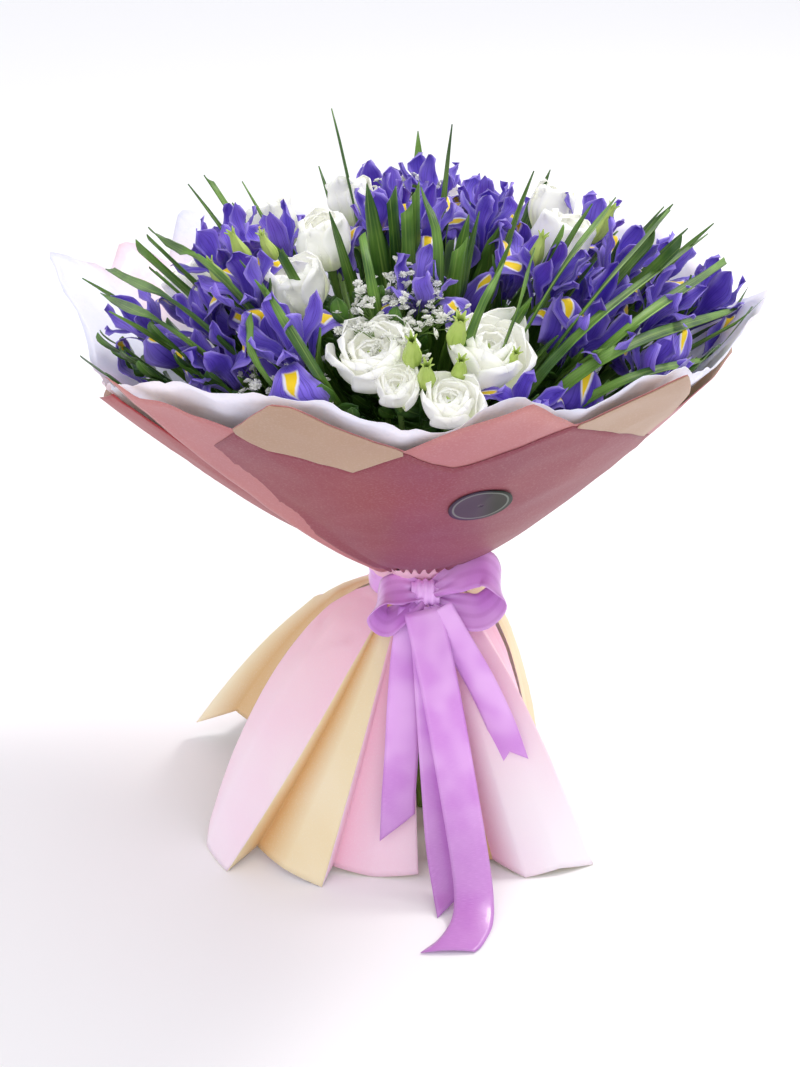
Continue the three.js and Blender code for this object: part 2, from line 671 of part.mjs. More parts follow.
// An iris stem swells into the sheath of green bracts that its bloom opens from.
const SHEATH = 5.2;
const SHEATH_LONG = 26;
function irisStem(row, grow) {
  const [, turn, lean, , size] = row;
  const { axis, base } = seat(row, IRIS_TALL);
  const swell = base.clone().addScaledVector(axis, -SHEATH_LONG * 0.45 * size);
  const from = base.clone().addScaledVector(axis, -SHEATH_LONG * size);
  const line = [...stemLine(turn, lean, from, axis), swell, base];
  const radii = line.map(() => IRIS_STEM);
  radii[line.length - 2] = SHEATH * size;
  return rod(line, radii, 4, grow);
}

function lisianthusStem(row, grow) {
  const [, turn, lean] = row;
  const { axis, base } = seat(row, LISIANTHUS_TALL);
  return rod(stemLine(turn, lean, base, axis), LISIANTHUS_STEM, 3, grow);
}

// Short-leaved greenery: a thin stem with oval leaves to either side.
const SPRIG_ROOT = 46;
const SPRIG_STEM = 1.4;
const LEAFLET = { long: 27, wide: 12, thick: 1.5 };
function sprigParts([turn, lean, reach, leaves], grow) {
  const from = TIE.clone().addScaledVector(aim(turn, lean * 0.8), SPRIG_ROOT);
  const to = TIE.clone().addScaledVector(aim(turn, lean), reach);
  const line = risingLine(from, to, aim(turn, lean * 0.9), aim(turn, lean * 0.95), 3);
  const curve = new THREE.CatmullRomCurve3(line);
  const parts = [rod(line, SPRIG_STEM, 3, grow)];
  const across = vector(-Math.sin(radians(turn)), Math.cos(radians(turn)), 0);
  for (let k = 0; k < leaves; k += 1) {
    const share = 0.45 + (0.54 * k) / (leaves - 1);
    const at = curve.getPointAt(share);
    const along = curve.getTangentAt(share);
    const side = k === leaves - 1 ? 0 : (k % 2) * 2 - 1;
    const toward = along.clone().multiplyScalar(0.75).addScaledVector(across, side * 0.8);
    toward.normalize();
    const edge = toward.clone().cross(along.clone().cross(across)).normalize();
    const up = toward.clone().cross(edge);
    const middle = at.clone().addScaledVector(toward, LEAFLET.long * 0.48);
    const station = { at: middle, across: edge, up, width: LEAFLET.wide, thick: LEAFLET.thick, cup: 1 };
    const root = at.clone().addScaledVector(toward, -1);
    parts.push(blade([station], root, at.clone().addScaledVector(toward, LEAFLET.long), grow));
  }
  return parts;
}

const greenParts = (grow) => [
  ...IRISES.map((row) => irisStem(row, grow)),
  ...LISIANTHUS.map((row) => lisianthusStem(row, grow)),
  ...LEAVES.map((row) => strapLeaf(row, grow)),
  ...SPRIGS.flatMap((row) => sprigParts(row, grow)),
];

// Where a place in the binding comes to lie further down: the straight stems spread and
// turn together. Gives the scale and the turn in degrees.
function spreadAt(z) {
  const share = Math.max(0, (TIE_HEIGHT - z) / TIE_HEIGHT);
  const x = 1 - share + share * FOOT_SPREAD * Math.cos(radians(FOOT_TWIST));
  const y = share * FOOT_SPREAD * Math.sin(radians(FOOT_TWIST));
  return { scale: Math.hypot(x, y), turn: (Math.atan2(y, x) * 180) / Math.PI };
}

// The bunch where the stems are packed together: from the cut ends through the binding and
// on up to where they part. Its outside is ridged by the outer stems. Rows of [radius, z].
const PACKED = [[23, 0], [22, TIE_HEIGHT - 9], [22, TIE_HEIGHT + 12], [38, 228], [30, 248]];
const PACKED_FOOT = vector(5, 3, 0);
const PACKED_CROWN = vector(0, 0, 262);
const PACKED_SIDES = 20;
const RIDGE = 2.4;
function packedStems(grow) {
  const rings = PACKED.map(([radius, z]) => {
    const { scale, turn } = spreadAt(z);
    return Array.from({ length: PACKED_SIDES }, (_, k) =>
      polar(radius * scale + (k % 2 ? RIDGE : 0) + grow, (360 * k) / PACKED_SIDES + turn, z));
  });
  return loft([[PACKED_FOOT], ...rings, [PACKED_CROWN]]);
}

add("stems_and_leaves", [packedStems(0), ...greenParts(0)], [packedStems(CLEAR), ...greenParts(CLEAR)],
  MATERIALS.green);

// Blooms --------------------------------------------------------------------------------

// Petals as rows of [distance from the bloom's axis, height, width, lift of the edges],
// then the tip. The hub is the tube's foot and three staggered rings, with a face for the
// root of each petal, and its crown.
const FALL = { rows: [[10, 33, 9, 1.6], [21, 41, 21, 2], [30, 29, 25, -1]], tip: [33, 10] };
const STANDARD = { rows: [[12, 47, 17, 1.5]], tip: [15, 66] };
const STYLE = { rows: [[5.5, 38, 6, -0.5]], tip: [20, 50] };
const IRIS_HUB = { foot: [3, 0.4], low: [3.6, 14], waist: [5, 19], high: [4.2, 25], crown: 28 };
const LISIANTHUS_HUB = {
  foot: [2.2, 0.4], low: [4, 6], waist: [6, 10], high: [5.2, 14], inner: [3.6, 18], crown: 31,
};

// The frame of a bloom: its axis, and the direction of its first petal.
function bloomFrame({ axis, base }, turn, swing, size) {
  const across = vector(-Math.sin(radians(turn)), Math.cos(radians(turn)), 0);
  const outward = across.clone().cross(axis);
  const frame = new THREE.Matrix4().makeBasis(outward, across, axis);
  const spin = new THREE.Matrix4().makeRotationZ(radians(swing));
  frame.multiply(spin).scale(vector(size, size, size));
  return frame.setPosition(base);
}

function petalStations({ rows, tip }, angle, frame, size) {
  const at = (r, z) => polar(r, angle, z).applyMatrix4(frame);
  const origin = at(0, 0);
  const across = at(1, 0).sub(origin).cross(at(0, 1).sub(origin)).normalize();
  return rows.map(([r, z, width, cup], k) => {
    const next = rows[k + 1] ?? tip;
    const last = rows[k - 1] ?? [r * 0.5, z * 0.75];
    const along = at(next[0], next[1]).sub(at(last[0], last[1])).normalize();
    const up = across.clone().cross(along);
    return { at: at(r, z), across, up, width: width * size, thick: PETAL, cup: cup * size };
  });
}

// A bloom in one skin. Its petals, given by sector as outer, inner and top ones, are drawn
// out of the hub's faces. Every face is listed anticlockwise, seen from outside. Gives the
// solid, and the root and shape of each petal.
function bloomSkin(frame, size, sides, hub, { outer, inner, top }) {
  const points = [];
  const faces = [];
  const petals = [];
  const sector = 360 / sides;
  const addPoint = (point) => points.push(point) - 1;
  const addRing = ([radius, z], shift) => Array.from({ length: sides }, (_, k) =>
    addPoint(polar(radius, sector * (k + shift), z).applyMatrix4(frame)));
  const foot = addRing(hub.foot, 0);
  const low = addRing(hub.low, 0);
  const waist = addRing(hub.waist, 0.5);
  const high = addRing(hub.high, 0);

  // The face left, top, right, bottom, or a petal drawn out of it.
  const draw = (shape, angle, root) => {
    if (!shape) {
      faces.push([root[0], root[1], root[2]], [root[0], root[2], root[3]]);
      return;
    }
    petals.push({ shape, angle, root: root.map((index) => points[index]) });
    let last = root;
    for (const station of petalStations(shape, angle, frame, size)) {
      const next = bladeSection(station, 0).map(addPoint);
      for (let i = 0; i < 4; i += 1) {
        const j = (i + 1) % 4;
        faces.push(...quad(last[i], last[j], next[i], next[j], BLADE_SPLIT.includes(i)));
      }
      last = next;
    }
    const tip = addPoint(polar(shape.tip[0], angle, shape.tip[1]).applyMatrix4(frame));
    for (let i = 0; i < 4; i += 1) faces.push([last[i], last[(i + 1) % 4], tip]);
  };

  for (let k = 0; k < sides; k += 1) {
    const next = (k + 1) % sides;
    const before = (k + sides - 1) % sides;
    if (k > 0 && next > 0) faces.push([foot[0], foot[next], foot[k]]);
    faces.push([foot[k], foot[next], low[next]], [foot[k], low[next], low[k]]);
    faces.push([low[k], low[next], waist[k]], [waist[k], high[next], high[k]]);
    draw(outer(k), sector * k, [waist[k], high[k], waist[before], low[k]]);
  }
  if (inner) {
    faces.splice(0, faces.length, ...faces.filter(([a, b, c]) =>
      !(waist.includes(a) && high.includes(b) && high.includes(c))));
    const crownRing = addRing(hub.inner, 0.5);
    const crown = addPoint(vector(0, 0, hub.crown).applyMatrix4(frame));
    for (let k = 0; k < sides; k += 1) {
      const next = (k + 1) % sides;
      const before = (k + sides - 1) % sides;
      draw(inner(k), sector * (k + 0.5), [high[next], crownRing[k], high[k], waist[k]]);
      faces.push([high[k], crownRing[k], crownRing[before]]);
      faces.push([crownRing[k], crownRing[next], crown]);
    }
  } else {
    const crown = addPoint(vector(0, 0, hub.crown).applyMatrix4(frame));
    for (let k = 0; k < sides; k += 2) {
      const before = (k + sides - 1) % sides;
      draw(top(k), sector * k, [high[k + 1], crown, high[before], high[k]]);
    }
  }
  return { solid: solidFrom(points, faces), petals };
}

// The air kept round a bloom: round its hub, round each petal, and round the thick root
// of each petal, where it leaves the hub.
function bloomAir(frame, size, { foot, waist, high, crown }, petals) {
  const rings = [[foot[0], foot[1] - CLEAR], waist, high, [high[0] * 0.6, crown + CLEAR]];
  const parts = [loft(rings.map(([radius, z]) => Array.from({ length: 6 }, (_, i) =>
    polar((radius + CLEAR) / Math.cos(Math.PI / 6), 60 * i, z).applyMatrix4(frame))))];
  for (const { shape, angle, root } of petals) {
    const stations = petalStations(shape, angle, frame, size);
    const inside = polar(1, angle, shape.rows[0][1] * 0.6).applyMatrix4(frame);
    const tip = polar(shape.tip[0], angle, shape.tip[1]).applyMatrix4(frame);
    parts.push(blade(stations, inside, tip, CLEAR));
    const middle = root.reduce((sum, point) => sum.add(point), vector(0, 0, 0)).divideScalar(4);
    const wider = root.map((point) =>
      point.clone().addScaledVector(point.clone().sub(middle).normalize(), 3 * CLEAR));
    const { width, thick } = stations[0];
    const first = { ...stations[0], width: width + 6 * CLEAR, thick: thick + 6 * CLEAR };
    parts.push(loft([wider, bladeSection(first, 0)], BLADE_SPLIT));
  }
  return parts;
}

const FACES_FRONT = -90;
function irisParts(row, air) {
  const [, turn, , , size, swing] = row;
  const frame = bloomFrame(seat(row, IRIS_TALL), turn, FACES_FRONT - turn + swing, size);
  const { solid, petals } = bloomSkin(frame, size, 6, IRIS_HUB, {
    outer: (k) => (k % 2 ? STANDARD : FALL),
    top: () => STYLE,
  });
  return air ? bloomAir(frame, size, IRIS_HUB, petals) : [solid];
}

// A closed lisianthus stands as a cup, and an open one spreads and shows its inner petals.
const HALF_OPEN = 0.35;
function lisianthusParts(row, air) {
  const [, turn, , , size, open] = row;
  const frame = bloomFrame(seat(row, LISIANTHUS_TALL), turn, 20 * turn, size);
  const wide = 0.72 + 0.28 * open;
  const outer = {
    rows: [[14 * wide, 18, 16 * wide, 1.5 * wide], [23 * wide, 36, 26 * wide, 3 * wide]],
    tip: [(21 + 5 * open) * wide, 48],
  };
  const inner = { rows: [[9.5 * wide, 29, 9 * wide, wide]], tip: [8 * wide, 44] };
  const { solid, petals } = bloomSkin(frame, size, 5, LISIANTHUS_HUB, {
    outer: () => outer,
    inner: () => (open > HALF_OPEN ? inner : null),
  });
  return air ? bloomAir(frame, size, LISIANTHUS_HUB, petals) : [solid];
}

function addGroups(rows, makeParts, material) {
  for (const name of new Set(rows.map(([node]) => node))) {
    const members = rows.filter(([node]) => node === name);
    add(name, members.flatMap((row) => makeParts(row, 0)),
      members.flatMap((row) => makeParts(row, CLEAR)), material);
  }
}
addGroups(IRISES, irisParts, MATERIALS.iris);
addGroups(LISIANTHUS, lisianthusParts, MATERIALS.lisianthus);

// Gypsophila ----------------------------------------------------------------------------

// A thin stalk that ends in a round floret.
const FLORET_SIDES = [30, 150, 270];
function stalk(root, at, radius, grow) {
  const along = at.clone().sub(root).normalize();
  const across = vector(-along.y, along.x, 0.01).normalize();
  const up = along.clone().cross(across);
  const ringAt = (where, size) => FLORET_SIDES.map((angle) => where.clone()
    .addScaledVector(across, (size + grow) * Math.cos(radians(angle)))
    .addScaledVector(up, (size + grow) * Math.sin(radians(angle))));
  const neck = at.clone().addScaledVector(along, -radius * 0.8);
  const high = at.clone().addScaledVector(along, radius * 0.6);
  const crown = at.clone().addScaledVector(along, radius + grow);
  const rings = [ringAt(root, STALK), ringAt(neck, STALK), ringAt(at, radius), ringAt(high, radius * 0.6)];
  return loft([...rings, [crown]]);
}

const GOLDEN_TURN = 137.5;
const SPRAY_WIDE = 30;
const SPRAY_ROOT = 60;
const FLORET = 4.6;
const STALK = 0.9;
const STALK_STEP = 4; // between the places where the stalks leave the stem
function sprayParts([, turn, lean, reach, florets], grow) {
  const from = TIE.clone().addScaledVector(aim(turn, lean), SPRAY_ROOT);
  const to = TIE.clone().addScaledVector(aim(turn, lean), reach - 20);
  const parts = [rod([from, to], 1.3, 3, grow)];
  const axis = aim(turn, lean);
  const across = vector(-Math.sin(radians(turn)), Math.cos(radians(turn)), 0);
  const outward = across.clone().cross(axis);
  for (let k = 0; k < florets; k += 1) {
    const spread = SPRAY_WIDE * Math.sqrt((k + 0.5) / florets);
    const angle = radians(GOLDEN_TURN * k);
    const at = to.clone().addScaledVector(axis, 30 - spread * 0.35 + 5 * (k % 3))
      .addScaledVector(outward, spread * Math.cos(angle))
      .addScaledVector(across, spread * Math.sin(angle));
    const root = to.clone().addScaledVector(axis, -STALK_STEP * k);
    parts.push(stalk(root, at, FLORET, grow));
  }
  return parts;
}

addGroups(SPRAYS, sprayParts, MATERIALS.gypsophila);

// The scene graph -----------------------------------------------------------------------

const bouquet = new THREE.Group();
for (const { name, solid, material } of pieces) {
  const { vertProperties, triVerts } = solid.getMesh();
  const geometry = new THREE.BufferGeometry();
  geometry.setAttribute("position", new THREE.BufferAttribute(vertProperties, 3));
  geometry.setIndex(new THREE.BufferAttribute(triVerts, 1));
  const mesh = new THREE.Mesh(geometry, material);
  mesh.name = name;
  bouquet.add(mesh);
}

export default bouquet;
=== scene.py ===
"""A hand-tied bouquet of Dutch irises and lisianthus, in tissue and two-sided paper, tied
with satin ribbon. It stands on its cut stems inside a flared paper skirt.
Sizes are in millimetres and are turned into metres where a mesh is made. +Z is up."""

import math

import bpy
import numpy as np
from mathutils import Color, Euler, Matrix, Vector
from mathutils.geometry import interpolate_bezier


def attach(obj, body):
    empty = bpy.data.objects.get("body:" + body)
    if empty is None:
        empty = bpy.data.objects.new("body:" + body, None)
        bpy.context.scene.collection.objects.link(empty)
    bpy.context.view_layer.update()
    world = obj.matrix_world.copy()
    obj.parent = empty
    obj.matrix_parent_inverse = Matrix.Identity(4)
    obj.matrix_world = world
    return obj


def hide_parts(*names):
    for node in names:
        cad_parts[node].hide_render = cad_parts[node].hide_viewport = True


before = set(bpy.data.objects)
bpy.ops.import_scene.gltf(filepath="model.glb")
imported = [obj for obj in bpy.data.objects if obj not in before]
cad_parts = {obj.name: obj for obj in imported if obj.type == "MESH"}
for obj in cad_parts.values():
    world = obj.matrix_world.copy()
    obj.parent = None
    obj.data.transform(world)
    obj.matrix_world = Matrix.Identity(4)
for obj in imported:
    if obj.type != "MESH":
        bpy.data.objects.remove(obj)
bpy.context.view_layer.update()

# Studio ---------------------------------------------------
# A pale plain floor under soft light from high on the right and behind, and a camera that
# looks down on the bouquet from the front, as in the photograph.

MM = 0.001
CAMERA_PLACE = (-0.013, -1.3141, 0.8258)
CAMERA_AIM = (-0.013, 0.0, 0.213)
CAMERA_LENS = 67.95
LIGHT_AIM = (0, 0, 0.3)
# Name, place, size, power and tint.
LIGHTS = [
    ("key_light", (1.3, 0.9, 1.9), 0.5, 27, (1.0, 0.98, 0.95)),
    ("front_fill", (-0.9, -2.2, 1.7), 1.6, 8, (1.0, 0.98, 1.0)),
]
SKY_COLOUR = (0.97, 0.97, 1.0, 1)
FLOOR_COLOUR = (0.93, 0.93, 0.945, 1)
FLOOR_HALF = 8.0


class Socket:
    """One output in a node tree. It adds, subtracts and multiplies as a number does."""

    def __init__(self, graph, output):
        self.graph = graph
        self.output = output

    def math(self, operation, *values):
        return self.graph.node("ShaderNodeMath", dict(enumerate(values)), operation=operation)

    def __add__(self, other):
        return self.math("ADD", self, other)

    def __sub__(self, other):
        return self.math("SUBTRACT", self, other)

    def __rsub__(self, other):
        return self.math("SUBTRACT", other, self)

    def __mul__(self, other):
        return self.math("MULTIPLY", self, other)

    __radd__ = __add__
    __rmul__ = __mul__

    def size(self):
        return self.math("ABSOLUTE", self)

    def sine(self):
        return self.math("SINE", self)

    def step(self, low, high):
        """0 below low, 1 above high, and a smooth rise between them."""
        inputs = {"Value": self, "From Min": low, "From Max": high}
        return self.graph.node("ShaderNodeMapRange", inputs, interpolation_type="SMOOTHSTEP")


class Graph:
    """A node tree that is written as expressions."""

    def __init__(self, tree):
        self.tree = tree

    def node(self, kind, inputs, output=0, **settings):
        node = self.tree.nodes.new(kind)
        for name, value in settings.items():
            setattr(node, name, value)
        for name, value in inputs.items():
            self.put(node.inputs[name], value)
        return Socket(self, node.outputs[output])

    def put(self, socket, value):
        if isinstance(value, Socket):
            self.tree.links.new(value.output, socket)
        else:
            socket.default_value = value

    def noise(self, vector, scale, detail=2.0, output="Fac"):
        inputs = {"Vector": vector, "Scale": scale, "Detail": detail}
        return self.node("ShaderNodeTexNoise", inputs, output)

    def vector(self, operation, *values):
        return self.node("ShaderNodeVectorMath", dict(enumerate(values)), operation=operation)


class Finish(Graph):
    """A material with one Principled shader."""

    def __init__(self, name, **constants):
        self.material = bpy.data.materials.new(name)
        self.material.use_nodes = True
        super().__init__(self.material.node_tree)
        self.shader = self.tree.nodes["Principled BSDF"]
        for key, value in constants.items():
            label = key.replace("_", " ").title().replace("Ior", "IOR")
            self.shader.inputs[label].default_value = value

    def attribute(self, name, output="Fac"):
        return self.node("ShaderNodeAttribute", {}, output, attribute_name=name)

    def pick(self, vector, direction):
        """A vector, or the one of its three numbers that is asked for."""
        if direction is None:
            return vector
        return self.node("ShaderNodeSeparateXYZ", {"Vector": vector}, direction)

    def place(self, direction=None):
        return self.pick(self.node("ShaderNodeTexCoord", {}, "Object"), direction)

    def flat(self, direction=None):
        """The piece's own map, which runs along it, 0, and across it, 1."""
        return self.pick(self.attribute("flat", "Vector"), direction)

    def mottle(self, scale, detail=2.0):
        """Noise in space."""
        return self.noise(self.place(), scale, detail)

    def fibre(self, vector, scale, detail=2.0):
        """Noise that is drawn out in one direction."""
        return self.noise(self.vector("MULTIPLY", vector, scale), 1.0, detail)

    def paint(self, base, *layers):
        """A base colour and others laid over it, each as far as its mask says. Colours are
        given as they look on a screen, 0 to 255."""
        base = screen_colour(base)
        for mask, shade in layers:
            inputs = {0: mask, 6: base, 7: screen_colour(shade)}
            base = self.node("ShaderNodeMix", inputs, 2, data_type="RGBA")
        self.put(self.shader.inputs["Base Color"], base)

    def bump(self, height, distance, strength=1.0):
        inputs = {"Height": height, "Distance": distance, "Strength": strength}
        self.put(self.shader.inputs["Normal"], self.node("ShaderNodeBump", inputs))


def screen_colour(shade):
    return (*Color([value / 255 for value in shade]).from_srgb_to_scene_linear(), 1)


def new_piece(name, data):
    piece = bpy.data.objects.new(name, data)
    bpy.context.scene.collection.objects.link(piece)
    return piece


def set_up(name, data, place, target):
    """Puts a lamp or the camera in its place, turned to its target."""
    item = new_piece(name, data)
    item.location = place
    item.rotation_euler = (Vector(target) - Vector(place)).to_track_quat("-Z", "Y").to_euler()
    return item


for name, place, size, power, tint in LIGHTS:
    light = bpy.data.lights.new(name, "AREA")
    light.size = size
    light.energy = power
    light.color = tint
    set_up(name, light, place, LIGHT_AIM)

sky = bpy.data.worlds.new("studio")
sky.use_nodes = True
sky.node_tree.nodes["Background"].inputs["Color"].default_value = SKY_COLOUR
bpy.context.scene.world = sky
bpy.context.scene.view_settings.view_transform = "Standard"

lens = bpy.data.cameras.new("camera")
lens.lens = CAMERA_LENS
lens.clip_end = 20
bpy.context.scene.camera = set_up("camera", lens, CAMERA_PLACE, CAMERA_AIM)

floor_mesh = bpy.data.meshes.new("floor")
floor_corners = [(-1, -1), (1, -1), (1, 1), (-1, 1)]
floor_mesh.from_pydata([(x * FLOOR_HALF, y * FLOOR_HALF, 0) for x, y in floor_corners],
                       [], [(0, 1, 2, 3)])
floor_mesh.materials.append(Finish("floor_paint", roughness=0.75, base_color=FLOOR_COLOUR).material)
new_piece("floor", floor_mesh)

# Stems ----------------------------------------------------
# Green stems laid in a spiral through the binding: straight and packed from the cut ends
# to the tie, then leaning out to their blooms. Iris stems swell into a sheath of bracts.

TIE_HEIGHT = 187
TIE = Vector((0, 0, 200))
BUNCH_RADIUS = 21
WIDEST_LEAN = 50
FOOT_SPREAD = 1.5
FOOT_TWIST = 30
BLOOM_LEAN = 0.88
IRIS_TALL = 44
LISIANTHUS_TALL = 26
IRIS_STEM = 3
LISIANTHUS_STEM = 1.9
STEM_START = TIE_HEIGHT + 20
# Radius and number of the stems in each ring of the bunch.
PACKED_RINGS = [(0.1, 1), (6.2, 6), (12.4, 12), (18.6, 19)]
PACKED_STEM = 2.9
# Where the sheath under an iris swells, as a share of its length, and its radius there.
SHEATH = [(0.78, 4.2), (0.5, 5.2), (0.2, 4.6), (-0.1, 3.6)]
SHEATH_LONG = 26

# Irises: number, turn about the axis, lean from upright (degrees), distance of the bloom's
# middle from the tie, size, and the swing of its nearest fall from the front.
IRISES = [
    (1, -121, 38, 262, 1.2, 4), (2, -138, 43, 254, 1.05, -35),
    (3, -156, 38, 250, 1, -50), (4, 178, 48, 258, 1, 20),
    (5, -172, 31, 260, 1, 30), (3, -141, 32, 268, 1, 10),
    (26, -166, 22, 256, 0.95, -40), (6, 166, 30, 260, 0.95, -20),
    (7, -140, 8, 254, 1, -60), (8, 112, 9, 250, 0.95, 10),
    (9, -84, 10, 258, 1, 0), (10, 82, 15, 258, 1, 25),
    (27, 56, 20, 250, 1, 50), (11, -30, 12, 258, 1, 20),
    (11, -42, 20, 246, 0.95, -50), (12, -47, 28, 266, 1, 15),
    (13, -89, 25, 256, 1, 60), (14, 22, 30, 262, 0.95, 40),
    (15, -3, 32, 260, 1, -10), (16, 12, 41, 268, 1, -35),
    (28, 5, 48, 274, 1.05, 40), (17, -30, 32, 250, 1, -20),
    (18, -48, 38, 258, 1.1, 5), (17, -20, 40, 266, 1, 30),
    (19, -37, 46, 254, 1.05, 0), (20, -70, 46, 252, 1, 5),
    (21, 104, 30, 262, 1, 180), (22, 135, 44, 258, 1, 200),
    (23, 72, 35, 262, 1, 170), (24, 95, 47, 256, 1, 190),
    (25, 45, 44, 260, 1, 160),
]
# Lisianthus: number, turn, lean, distance, size, and how far it has opened (0 to 1).
LISIANTHUS = [
    (1, -101, 36, 252, 1.15, 1), (2, -95, 41, 252, 0.75, 0.5),
    (3, -84, 44, 256, 0.85, 0.8), (4, -73, 36, 254, 1.15, 1),
    (5, -136, 26, 252, 1.05, 0.2), (13, -147, 17, 258, 1, 0.1),
    (6, 146, 29, 258, 1, 0.3), (7, 33, 25, 264, 0.95, 0.1),
    (8, 2, 23, 254, 1.05, 0.4), (9, 164, 41, 252, 1, 0.7),
    (10, 124, 20, 258, 0.9, 0.2), (11, 82, 26, 256, 1, 0.6),
    (12, 114, 40, 252, 1.05, 0.9),
]


def polar(radius, turn, z):
    angle = math.radians(turn)
    return Vector((radius * math.cos(angle), radius * math.sin(angle), z))


def aim(turn, lean):
    return polar(math.sin(math.radians(lean)), turn, math.cos(math.radians(lean)))


def seat(row, tall):
    """The axis of a bloom, and the foot of its tube."""
    _, turn, lean, reach, size, _ = row
    axis = aim(turn, lean * BLOOM_LEAN)
    return axis, TIE + aim(turn, lean) * reach - axis * tall * size


def rising_line(start, end, arriving, leaving, steps):
    """A curve that leaves the tie nearer upright and arrives along its end direction."""
    pull = (end - start).length * 0.34
    return interpolate_bezier(start, start + leaving * pull, end - arriving * pull, end, steps + 1)


def mark(mesh, name, values, kind="FLOAT"):
    """Gives each point of a mesh its value."""
    field = "vector" if kind == "FLOAT_VECTOR" else "value"
    values = np.array(values, np.int32 if kind == "INT" else np.float32)
    mesh.attributes.new(name, kind, "POINT").data.foreach_set(field, values.ravel())


def baked(name, mesh, kind, prepare):
    """What a mesh becomes under one modifier, as a plain mesh."""
    carrier = new_piece(name, mesh)
    modifier = carrier.modifiers.new(name, kind)
    prepare(modifier)
    bpy.context.view_layer.update()
    shapes = bpy.context.evaluated_depsgraph_get()
    made = bpy.data.meshes.new_from_object(
        carrier.evaluated_get(shapes), preserve_all_data_layers=True, depsgraph=shapes)
    carrier.modifiers.remove(modifier)
    bpy.data.objects.remove(carrier)
    made.name = name
    return made


class Tree(Graph):
    """A geometry tree with named inputs."""

    def __init__(self, name, **sockets):
        super().__init__(bpy.data.node_groups.new(name, "GeometryNodeTree"))
        wires = self.tree.interface
        wires.new_socket("Geometry", in_out="OUTPUT", socket_type="NodeSocketGeometry")
        for label, kind in {"Geometry": "Geometry", **sockets}.items():
            wires.new_socket(label, in_out="INPUT", socket_type="NodeSocket" + kind)
        source = self.tree.nodes.new("NodeGroupInput")
        self.given = {socket.name: Socket(self, socket) for socket in source.outputs if socket.name}

    def named(self, name, kind="FLOAT"):
        return self.node("GeometryNodeInputNamedAttribute", {"Name": name}, data_type=kind)

    def give(self, shape):
        self.put(self.tree.nodes.new("NodeGroupOutput").inputs[0], shape)

    def give_real(self, shape):
        """Ends the tree with real geometry in the finish that is given."""
        real = self.node("GeometryNodeRealizeInstances", {"Geometry": shape})
        inputs = {"Geometry": real, "Material": self.given["Finish"]}
        self.give(self.node("GeometryNodeSetMaterial", inputs))

    def run(self, name, mesh, **values):
        """What the tree makes of a mesh, as a plain mesh."""
        def prepare(modifier):
            modifier.node_group = self.tree
            for item in self.tree.interface.items_tree:
                if item.in_out == "INPUT" and item.name in values:
                    modifier[item.identifier] = values[item.name]

        return baked(name, mesh, "NODES", prepare)


tube = Tree("tube_along_lines", Sides="Int", Finish="Material")
tube_line = tube.node("GeometryNodeMeshToCurve", {"Mesh": tube.given["Geometry"]})
tube_ring = tube.node("GeometryNodeCurvePrimitiveCircle", {
    "Resolution": tube.given["Sides"], "Radius": 1.0})
tube_skin = tube.node("GeometryNodeCurveToMesh", {
    "Curve": tube_line, "Profile Curve": tube_ring, "Fill Caps": True, "Scale": tube.named("thick")})
tube.give_real(tube.node("GeometryNodeSetShadeSmooth", {"Geometry": tube_skin}))


def tubes(name, lines, radii, sides, finish):
    """Stems along lines, with a radius at each of their points."""
    edges = []
    start = 0
    for line in lines:
        edges.extend((k, k + 1) for k in range(start, start + len(line) - 1))
        start += len(line)
    mesh = bpy.data.meshes.new(name + "_lines")
    mesh.from_pydata([tuple(Vector(point) * MM) for line in lines for point in line], edges, [])
    mark(mesh, "thick", [radius * MM for row in radii for radius in row])
    return tube.run(name, mesh, Sides=sides, Finish=finish.material)


def dress(piece, node):
    """Ties a finished piece to the body and hides the solid that it replaces."""
    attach(piece, "root")
    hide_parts(node)


def packed_place(turn, radius, z):
    """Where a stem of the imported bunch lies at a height."""
    foot = polar(radius * FOOT_SPREAD, turn + FOOT_TWIST, z)
    return polar(radius, turn, z).lerp(foot, max(0.0, (TIE_HEIGHT - z) / TIE_HEIGHT))


def free_stem(row, axis, end, steps):
    """A stem from the bunch to its bloom."""
    turn, lean = row[1:3]
    start = polar(BUNCH_RADIUS * lean / WIDEST_LEAN, turn, STEM_START)
    return rising_line(start, end, axis, aim(turn, lean * 0.85), steps)


stalk = Finish("stem_skin", roughness=0.5, specular_ior_level=0.4)
stalk_fibre = stalk.fibre(stalk.place(), (900, 900, 60))
stalk.paint((70, 112, 40), (stalk.mottle(60, 3), (122, 158, 70)), (stalk_fibre * 0.35, (160, 185, 100)))
stalk.bump(stalk_fibre, 0.0003, 0.6)

stem_lines = []
stem_radii = []
for radius, count in PACKED_RINGS:
    for k in range(count):
        turn = 360 * k / count + radius
        line = [packed_place(turn, radius, z) for z in (0.3, 60, 120, 178, 200, STEM_START)]
        stem_lines.append(line + [polar(radius * 1.35, turn, STEM_START + 22)])
        stem_radii.append([PACKED_STEM] * (len(line) + 1))
for row in IRISES:
    axis, base = seat(row, IRIS_TALL)
    sheath = axis * SHEATH_LONG * row[4]
    line = free_stem(row, axis, base - sheath, 8)
    stem_lines.append(line + [base - sheath * share for share, _ in SHEATH])
    stem_radii.append([IRIS_STEM] * len(line) + [radius * row[4] for _, radius in SHEATH])
for row in LISIANTHUS:
    axis, base = seat(row, LISIANTHUS_TALL)
    line = free_stem(row, axis, base + axis * 2, 9)
    stem_lines.append(line)
    stem_radii.append([LISIANTHUS_STEM] * (len(line) - 1) + [3.0 * row[4]])
stems = new_piece("stems", tubes("stem_tubes", stem_lines, stem_radii, 10, stalk))
dress(stems, "stems_and_leaves")

# Tissue collar --------------------------------------------
# A sheet of pearly white tissue, pleated round the stems inside the coloured wrapping. Its
# soft points stand past the wrapping all round.

